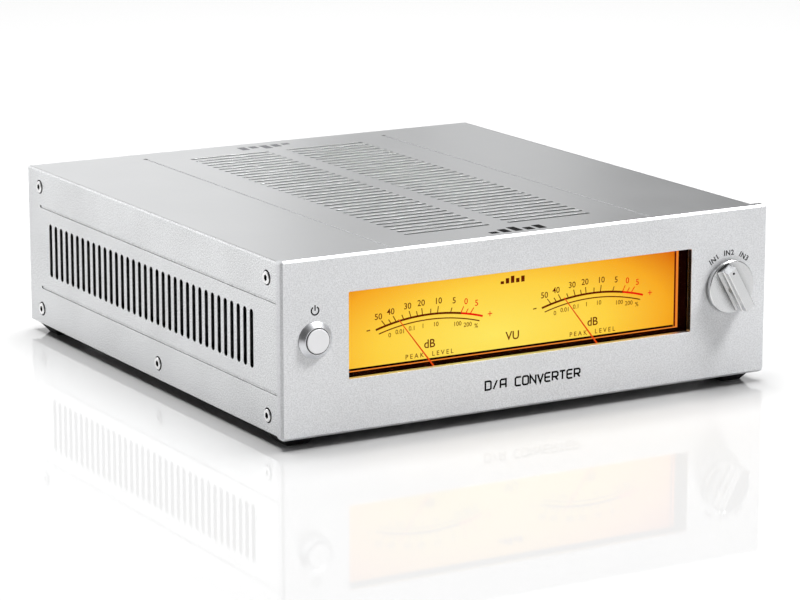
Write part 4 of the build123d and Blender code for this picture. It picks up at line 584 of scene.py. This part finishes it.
# each mark: distance from the middle in mm, label, and whether it is a long one
MARKS = (
    (-21.9, "50", True), (-19.1, "", False), (-16.6, "40", True), (-12.9, "", False), (-9.3, "30", True),
    (-6.1, "", False), (-3.6, "20", True), (0.5, "", False), (3.9, "10", True), (10.4, "5", False),
    (15.6, "0", True), (18.1, "", False), (20.3, "5", True),
)
FINE_LABELS = (
    (-19.6, "0"), (-14.7, "0.01"), (-8.9, "0.1"), (-3.3, "1"), (3.3, "10"), (14.0, "100"), (18.9, "200"),
    (23.1, "%"),
)
LONG_MARK, SHORT_MARK, MARK_W = 2.7 * MM, 1.9 * MM, 0.42 * MM
LABEL_OUT, LABEL_H = 5.1 * MM, 2.6 * MM
FINE_LABEL_DROP, FINE_LABEL_H = 2.4 * MM, 1.9 * MM
MINUS_FROM, MINUS_TO, MINUS_W = (-30.8 * MM, 44.3 * MM), (-29.1 * MM, 44.5 * MM), 0.5 * MM
PLUS_AT, PLUS_HALF, PLUS_W = Vector((30 * MM, 44.85 * MM)), 1.1 * MM, 0.4 * MM
DECIBEL_H, DECIBEL_Z = 3.6 * MM, 35.3 * MM
LEVEL_H, LEVEL_Z = 2.0 * MM, 30.7 * MM
UNIT_H, UNIT_Z = 3.7 * MM, 33.9 * MM
DIAL_BARS_W, DIAL_BARS_H, DIAL_BARS_Z = 13 * MM, 3.1 * MM, 58.7 * MM

# the lines that border the dial, up from the window's bottom and in from its right side
BORDER_LOW, BORDER_HIGH, BORDER_END = 0.5 * MM, 1.45 * MM, 2.4 * MM
# the line up the right side is a painted reflection, in dark orange-brown
SIDE_LINE_IN, SIDE_LINE_W = 1.7 * MM, 0.9 * MM
SIDE_LINE_DROP = 1 * MM   # how far the side line ends below the dial's top


def on_curve(x, top, radius):
    """Height of a circle's upper arc at a distance from its middle."""
    return top - radius + sqrt(radius * radius - x * x)


def add_curve(mesh, start, end, top, radius, width):
    xs = [start + (end - start) * step / CURVE_STEPS for step in range(CURVE_STEPS + 1)]
    add_stroke(mesh, [(x, on_curve(x, top, radius)) for x in xs], width)


def meter_scale(side, centre_x):
    """One meter's scale, in dark brown, pale brown and red."""
    dark, pale, red = bmesh.new(), bmesh.new(), bmesh.new()
    band_top = SCALE_TOP - SCALE_BAND / 2
    add_curve(dark, -SCALE_HALF, RED_FROM, band_top, SCALE_R, SCALE_BAND)
    add_curve(red, RED_FROM, SCALE_HALF, band_top, SCALE_R, SCALE_BAND)
    add_curve(dark, -FINE_HALF, FINE_HALF, FINE_TOP, FINE_R, FINE_BAND)
    for offset, label, is_long in MARKS:
        x = offset * MM
        base = Vector((x, on_curve(x, SCALE_TOP, SCALE_R)))
        away = (base - Vector((0, FAN_Z))).normalized()
        mesh = red if x >= RED_FROM else dark
        length = LONG_MARK if is_long else SHORT_MARK
        add_stroke(mesh, [base - away * SCALE_BAND / 2, base + away * length], MARK_W)
        if label:
            add_text(mesh, label, LABEL_H, base + away * LABEL_OUT, weight=0.008)
    for offset, label in FINE_LABELS:
        x = offset * MM
        low = on_curve(x, FINE_TOP, FINE_R) - FINE_LABEL_DROP
        add_text(pale, label, FINE_LABEL_H, (x, low), weight=0.012)
    add_stroke(dark, [MINUS_FROM, MINUS_TO], MINUS_W)
    for arm in (Vector((PLUS_HALF, 0)), Vector((0, PLUS_HALF))):
        add_stroke(red, [PLUS_AT - arm, PLUS_AT + arm], PLUS_W)
    add_text(dark, "dB", DECIBEL_H, (0, DECIBEL_Z), weight=0.01)
    add_text(dark, "PEAK  LEVEL", LEVEL_H, (0, LEVEL_Z), spacing=1.55, weight=0.006)
    origin = (centre_x, DIAL_Y, 0)
    printed(side + "_scale_dark", dark, "front", origin, dial_ink)
    printed(side + "_scale_pale", pale, "front", origin, pale_ink)
    printed(side + "_scale_red", red, "front", origin, red_ink)


def add_level_bars(mesh, width, height):
    """Five upright bars that rise and fall like a level display: a mark of no particular maker."""
    shares = (0.4, 0.75, 1.0, 0.6, 0.85)
    pitch = width / len(shares)
    for index, share in enumerate(shares):
        x = (index - (len(shares) - 1) / 2) * pitch
        add_stroke(mesh, [(x, -height / 2), (x, -height / 2 + height * share)], pitch * 0.66)


def dial_middle():
    """The unit between the two meters, and the level bars above it."""
    unit = bmesh.new()
    add_text(unit, "VU", UNIT_H, (0, UNIT_Z), weight=0.01)
    printed("dial_unit", unit, "front", (WINDOW_X, DIAL_Y, 0), dial_ink)
    bars = bmesh.new()
    add_level_bars(bars, DIAL_BARS_W, DIAL_BARS_H)
    printed("dial_level_bars", bars, "front", (WINDOW_X, DIAL_Y, DIAL_BARS_Z), dial_ink)


def dial_lines():
    """A dark line along the dial's bottom, and up its right side a brown line that is a painted reflection.
    """
    border = bmesh.new()
    border_z = WINDOW_BOTTOM + (BORDER_LOW + BORDER_HIGH) / 2
    border_ends = [(WINDOW_LEFT, border_z), (WINDOW_RIGHT - BORDER_END, border_z)]
    add_stroke(border, border_ends, BORDER_HIGH - BORDER_LOW)
    border_ink = ink("border_ink", srgb(30, 2, 0))
    printed("dial_border", border, "front", (0, DIAL_Y, 0), border_ink)

    # painted reflection: a dark orange-brown line up the dial's right side
    side_line = bmesh.new()
    side_x = WINDOW_RIGHT - SIDE_LINE_IN
    side_ends = [(side_x, WINDOW_BOTTOM + BORDER_LOW), (side_x, DIAL_HIGH.z - SIDE_LINE_DROP)]
    add_stroke(side_line, side_ends, SIDE_LINE_W)
    reflected_line_ink = ink("painted_reflection_ink", srgb(96, 16, 2), glow=0.9)
    printed("dial_painted_reflection", side_line, "front", (0, DIAL_Y, 0), reflected_line_ink)


for side, pivot in METERS.items():
    meter_scale(side, pivot.x)
dial_middle()
dial_lines()


# ---------------------------------------------------------------- window's reveal with painted shade, and marks on the case
black_ink = ink("panel_black_ink", srgb(12, 12, 13), shine=0.05)
grey_ink = ink("panel_grey_ink", srgb(26, 27, 30), shine=0.05)

REVEAL_IN, REVEAL_OUT, REVEAL_GAP = 0.25 * MM, 2.6 * MM, 0.1 * MM

# block capitals with square shoulders, as strokes on a grid of 4 wide and 6 high
GLYPHS = {
    "D": [[(0, 0), (3.2, 0), (4, 0.8), (4, 5.2), (3.2, 6), (0, 6), (0, 0)]],
    "/": [[(0.4, 0), (3, 6)]],
    "A": [[(0, 0), (0, 5.2), (0.8, 6), (4, 6), (4, 0)], [(0.4, 2.4), (3.6, 2.4)]],
    " ": [],
    "C": [[(4, 0), (0.8, 0), (0, 0.8), (0, 5.2), (0.8, 6), (4, 6)]],
    "O": [[(0.8, 0), (3.2, 0), (4, 0.8), (4, 5.2), (3.2, 6), (0.8, 6), (0, 5.2), (0, 0.8), (0.8, 0)]],
    "N": [[(0, 0), (0, 6), (4, 0), (4, 6)]],
    "V": [[(0, 6), (2, 0), (4, 6)]],
    "E": [[(4, 0), (0.8, 0), (0, 0.8), (0, 5.2), (0.8, 6), (4, 6)], [(0.4, 3), (3.6, 3)]],
    "R": [[(0, 0), (0, 6), (3.2, 6), (4, 5.2), (4, 3.4), (3.2, 2.6), (0.4, 2.6)], [(2, 2.6), (4, 0)]],
    "T": [[(0, 6), (4, 6)], [(2, 5.6), (2, 0)]],
}
GLYPH_W, GLYPH_H, GLYPH_ADVANCE = 4, 6, 5.4      # in units of the grid
CAPTION, CAPTION_W, CAPTION_H, CAPTION_Z = "D/A CONVERTER", 49 * MM, 3.7 * MM, 16.1 * MM
CAPTION_STROKE = 0.82 * MM

POWER_MARK_Z, POWER_MARK_R = 58.6 * MM, 1.75 * MM
POWER_RING_FROM, POWER_RING_TO, POWER_RING_W = 122, 418, 0.62 * MM
POWER_BAR_TOP, POWER_BAR_W = 2.4 * MM, 0.55 * MM

SOURCE_R, SOURCE_STEP, SOURCE_H = 14.9 * MM, 33, 2.3 * MM
POINTER_LEAN, DOT_OUT, DOT_R, DOT_DEEP = 30, 9.0 * MM, 0.53 * MM, 0.1 * MM

TOP_MARK_W, TOP_MARK_H = 30 * MM, 8.4 * MM
TOP_MARKS = (
    ("top_mark_front", "top", -113 * MM, black_ink),
    ("top_mark_rear", "top_from_rear", 117 * MM, ink("top_pale_ink", srgb(112, 113, 116), shine=0.2)),
)


def leaning(radius, lean):
    """A point at a radius, leaning to the left of straight up by degrees."""
    return Vector((-sin(radians(lean)), cos(radians(lean)))) * radius


def window_reveal():
    """A dark layer on the window's right wall, between the front face and the glass: painted shade and dark
    reflection.
    """
    reveal = bmesh.new()
    low, high = WINDOW_BOTTOM + REVEAL_GAP, WINDOW_TOP - REVEAL_GAP
    add_face(reveal, [(REVEAL_IN, low), (REVEAL_OUT, low), (REVEAL_OUT, high), (REVEAL_IN, high)])
    # painted shade and dark reflection, laid on the wall as a thin dark layer
    painted_shade_sheet = ink("painted_shade_sheet", srgb(44, 44, 46), shine=0.2)
    printed("window_reveal", reveal, "left", (WINDOW_RIGHT, FRONT_Y, 0), painted_shade_sheet)


def front_caption():
    """The caption below the window, in block capitals."""
    unit_y = CAPTION_H / GLYPH_H
    advance = CAPTION_W / len(CAPTION)
    unit_x = advance / GLYPH_ADVANCE
    margin = (advance - GLYPH_W * unit_x) / 2
    caption = bmesh.new()
    for index, letter in enumerate(CAPTION):
        left = (index - len(CAPTION) / 2) * advance + margin
        for stroke in GLYPHS[letter]:
            points = [(left + x * unit_x, (y - GLYPH_H / 2) * unit_y) for x, y in stroke]
            add_stroke(caption, points, CAPTION_STROKE)
    printed("front_caption", caption, "front", (0, FRONT_Y, CAPTION_Z), black_ink)


def power_mark():
    """An open ring with an upright bar, above the power button."""
    mark = bmesh.new()
    add_stroke(mark, arc_points(POWER_MARK_R, POWER_RING_FROM, POWER_RING_TO, steps=28), POWER_RING_W)
    add_stroke(mark, [(0, 0), (0, POWER_BAR_TOP)], POWER_BAR_W)
    printed("power_mark", mark, "front", (BUTTON.x, FRONT_Y, POWER_MARK_Z), grey_ink)


def source_marks():
    """Three numbered inputs round the top of the knob."""
    marks = bmesh.new()
    for number, lean in ((1, SOURCE_STEP), (2, 0), (3, -SOURCE_STEP)):
        centre = leaning(SOURCE_R, lean)
        add_text(marks, "IN%d" % number, SOURCE_H, centre, turn=lean, weight=0.022, spacing=1.12)
    printed("source_marks", marks, "front", (KNOB.x, FRONT_Y, KNOB.z), grey_ink)


def knob_dot():
    """The pointer dot near the end of the knob's bar, which turns with the knob."""
    dot = bmesh.new()
    add_face(dot, arc_points(DOT_R, 0, 360, steps=20)[:-1])
    out = leaning(DOT_OUT, POINTER_LEAN)
    origin = (KNOB.x + out.x, KNOB_FACE_Y + DOT_DEEP, KNOB.z + out.y)
    printed("knob_dot", dot, "front", origin, ink("dot_black", srgb(6, 6, 6)), "selector")


window_reveal()
front_caption()
power_mark()
source_marks()
knob_dot()
for name, facing, y, mark_ink in TOP_MARKS:
    bars = bmesh.new()
    add_level_bars(bars, TOP_MARK_W, TOP_MARK_H)
    printed(name, bars, facing, (0, y, TOP_Z), mark_ink)


# ---------------------------------------------------------------- return spring, shortened by the button
SPRING_WIRE_R, SPRING_TURNS, TURN_STEPS, WIRE_SIDES = 0.3 * MM, 5, 28, 8


def coil_mesh(centre, radius, low_y, high_y):
    """A round wire wound into a coil along Y, closed at both ends."""
    mesh = bmesh.new()
    count = SPRING_TURNS * TURN_STEPS
    rise = (high_y - low_y) / count
    sweep = radius * tau / TURN_STEPS
    wire_angles = [tau * side / WIRE_SIDES for side in range(WIRE_SIDES)]
    rings = []
    for step in range(count + 1):
        angle = tau * step / TURN_STEPS
        outward = Vector((cos(angle), 0, sin(angle)))
        along = Vector((-sin(angle) * sweep, rise, cos(angle) * sweep))
        across = along.cross(outward).normalized()
        core = Vector((centre.x, low_y + rise * step, centre.z)) + outward * radius
        offsets = [(outward * cos(t) + across * sin(t)) * SPRING_WIRE_R for t in wire_angles]
        rings.append([mesh.verts.new(core + offset) for offset in offsets])
    for first, second in zip(rings, rings[1:]):
        for side in range(WIRE_SIDES):
            after = (side + 1) % WIRE_SIDES
            mesh.faces.new((first[side], first[after], second[after], second[side]))
    mesh.faces.new(rings[0])
    mesh.faces.new(rings[-1])
    bmesh.ops.recalc_face_normals(mesh, faces=mesh.faces)
    return mesh


coil = coil_mesh(
    middle("button_spring"), (SPRING_HIGH.x - SPRING_LOW.x) / 2 - SPRING_WIRE_R,
    SPRING_LOW.y + SPRING_WIRE_R, SPRING_HIGH.y - SPRING_WIRE_R,
)
spring = as_object("return_spring", coil, spring_finish)
for polygon in spring.data.polygons:
    polygon.use_smooth = True
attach(spring, "case")
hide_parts("button_spring")
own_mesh(spring)


# ---------------------------------------------------------------- studio: floor and backdrop
FLOOR_HALF = 14.0
BACKDROP_SEEN, BACKDROP_LIGHT = 1.0, 0.09      # brightness to the camera, and as a light

floor_finish = Finish("pale_floor", (0.80, 0.80, 0.80), 0.03, IOR=1.2)
floor_finish.set("Roughness", floor_finish.spread(floor_finish.noise(0.2), 0.025, 0.04))
floor_mesh = bmesh.new()
add_face(floor_mesh, [(FLOOR_HALF * x, FLOOR_HALF * y) for x, y in ((-1, -1), (1, -1), (1, 1), (-1, 1))])
floor = as_object("floor", floor_mesh, floor_finish)

world = bpy.data.worlds.new("studio")
bpy.context.scene.world = world
world.use_nodes = True
world_nodes = world.node_tree.nodes
backdrop = world_nodes["Background"]
backdrop.inputs["Color"].default_value = (1, 1, 1, 1)
seen = world_nodes.new("ShaderNodeMapRange")
seen.inputs["To Min"].default_value = BACKDROP_LIGHT
seen.inputs["To Max"].default_value = BACKDROP_SEEN
light_path = world_nodes.new("ShaderNodeLightPath")
world.node_tree.links.new(light_path.outputs["Is Camera Ray"], seen.inputs["Value"])
world.node_tree.links.new(seen.outputs["Result"], backdrop.inputs["Strength"])


# ---------------------------------------------------------------- studio: lights
POWER_PER_RADIANCE = 4      # watts from each square metre of a card at a radiance of 1
BACK_CARD_Y, BACK_CARD_Z, BACK_CARD_HEIGHT = 0.8, 0.35, 0.9


def softbox(name, position, target, size, radiance, receivers):
    """A rectangular light. It lights the floor alone, or the object alone and not the floor."""
    light = bpy.data.lights.new(name, "AREA")
    light.shape = "RECTANGLE"
    light.size, light.size_y = size
    light.energy = radiance * size[0] * size[1] * POWER_PER_RADIANCE
    made = bpy.data.objects.new(name, light)
    made.location = position
    made.rotation_euler = (Vector(target) - Vector(position)).to_track_quat("-Z", "Y").to_euler()
    made.visible_camera = False
    bpy.context.scene.collection.objects.link(made)
    linked = bpy.data.collections.new(name + "_receivers")
    linked.objects.link(floor)
    made.light_linking.receiver_collection = linked
    if receivers == "object":
        linked.collection_objects[0].light_linking.link_state = "EXCLUDE"


def back_card(number, x, width, radiance):
    """One of the cards side by side behind the object, each of which sets the tone of a part of its top."""
    position, target = (x, BACK_CARD_Y, BACK_CARD_Z), (x, 0, BACK_CARD_Z)
    return "back_card_%d" % number, position, target, (width, BACK_CARD_HEIGHT), radiance, "object"


# name, middle, point it faces, width and height, radiance, and what it lights
LIGHTS = (
    ("floor_card", (3.6, 6.2, 2.0), (0, 0, 0.2), (12.0, 8.0), 1.06, "floor"),
    back_card(1, -0.12, 0.76, 0.70),
    back_card(2, 0.32, 0.12, 0.70),
    back_card(3, 0.44, 0.12, 0.34),
    back_card(4, 0.57, 0.14, 0.50),
    back_card(5, 0.76, 0.24, 0.18),
    ("edge_card", (-0.42, 0.8, 0.72), (-0.42, 0, 0.72), (0.6, 0.4), 1.5, "object"),
    ("panel_softbox", (0.95, -0.85, 1.65), (0, 0, 0), (0.5, 0.5), 52.0, "object"),
    ("overhead_softbox", (0.0, 0.1, 1.6), (0, 0, 0), (1.4, 1.2), 5.3, "floor"),
    ("ceiling_card", (0.0, 0.1, 1.6), (0, 0, 0), (1.4, 1.2), 1.2, "object"),
    ("front_card", (-0.02, -1.3, 0.45), (-0.02, 0, 0.45), (0.8, 0.9), 0.84, "object"),
    ("left_card", (-1.45, 0.9, 0.45), (-1.45, 0, 0.45), (1.5, 0.9), 2.1, "object"),
)
for entry in LIGHTS:
    softbox(*entry)


# ---------------------------------------------------------------- camera
CAMERA_AT = Vector((-0.7521, -1.3186, 0.3706))
CAMERA_AZIMUTH, CAMERA_DOWN = radians(29.965), radians(12.80)
CAMERA_LENS, CAMERA_SENSOR = 151.42, 36

camera_data = bpy.data.cameras.new("camera")
camera_data.lens = CAMERA_LENS
camera_data.sensor_width = CAMERA_SENSOR
camera_data.clip_start, camera_data.clip_end = 0.05, 100
camera = bpy.data.objects.new("camera", camera_data)
camera.location = CAMERA_AT
level_share = cos(CAMERA_DOWN)
view_line = Vector((sin(CAMERA_AZIMUTH) * level_share, cos(CAMERA_AZIMUTH) * level_share, -sin(CAMERA_DOWN)))
camera.rotation_euler = view_line.to_track_quat("-Z", "Y").to_euler()
bpy.context.scene.collection.objects.link(camera)
bpy.context.scene.camera = camera
bpy.context.scene.view_settings.view_transform = "Standard"
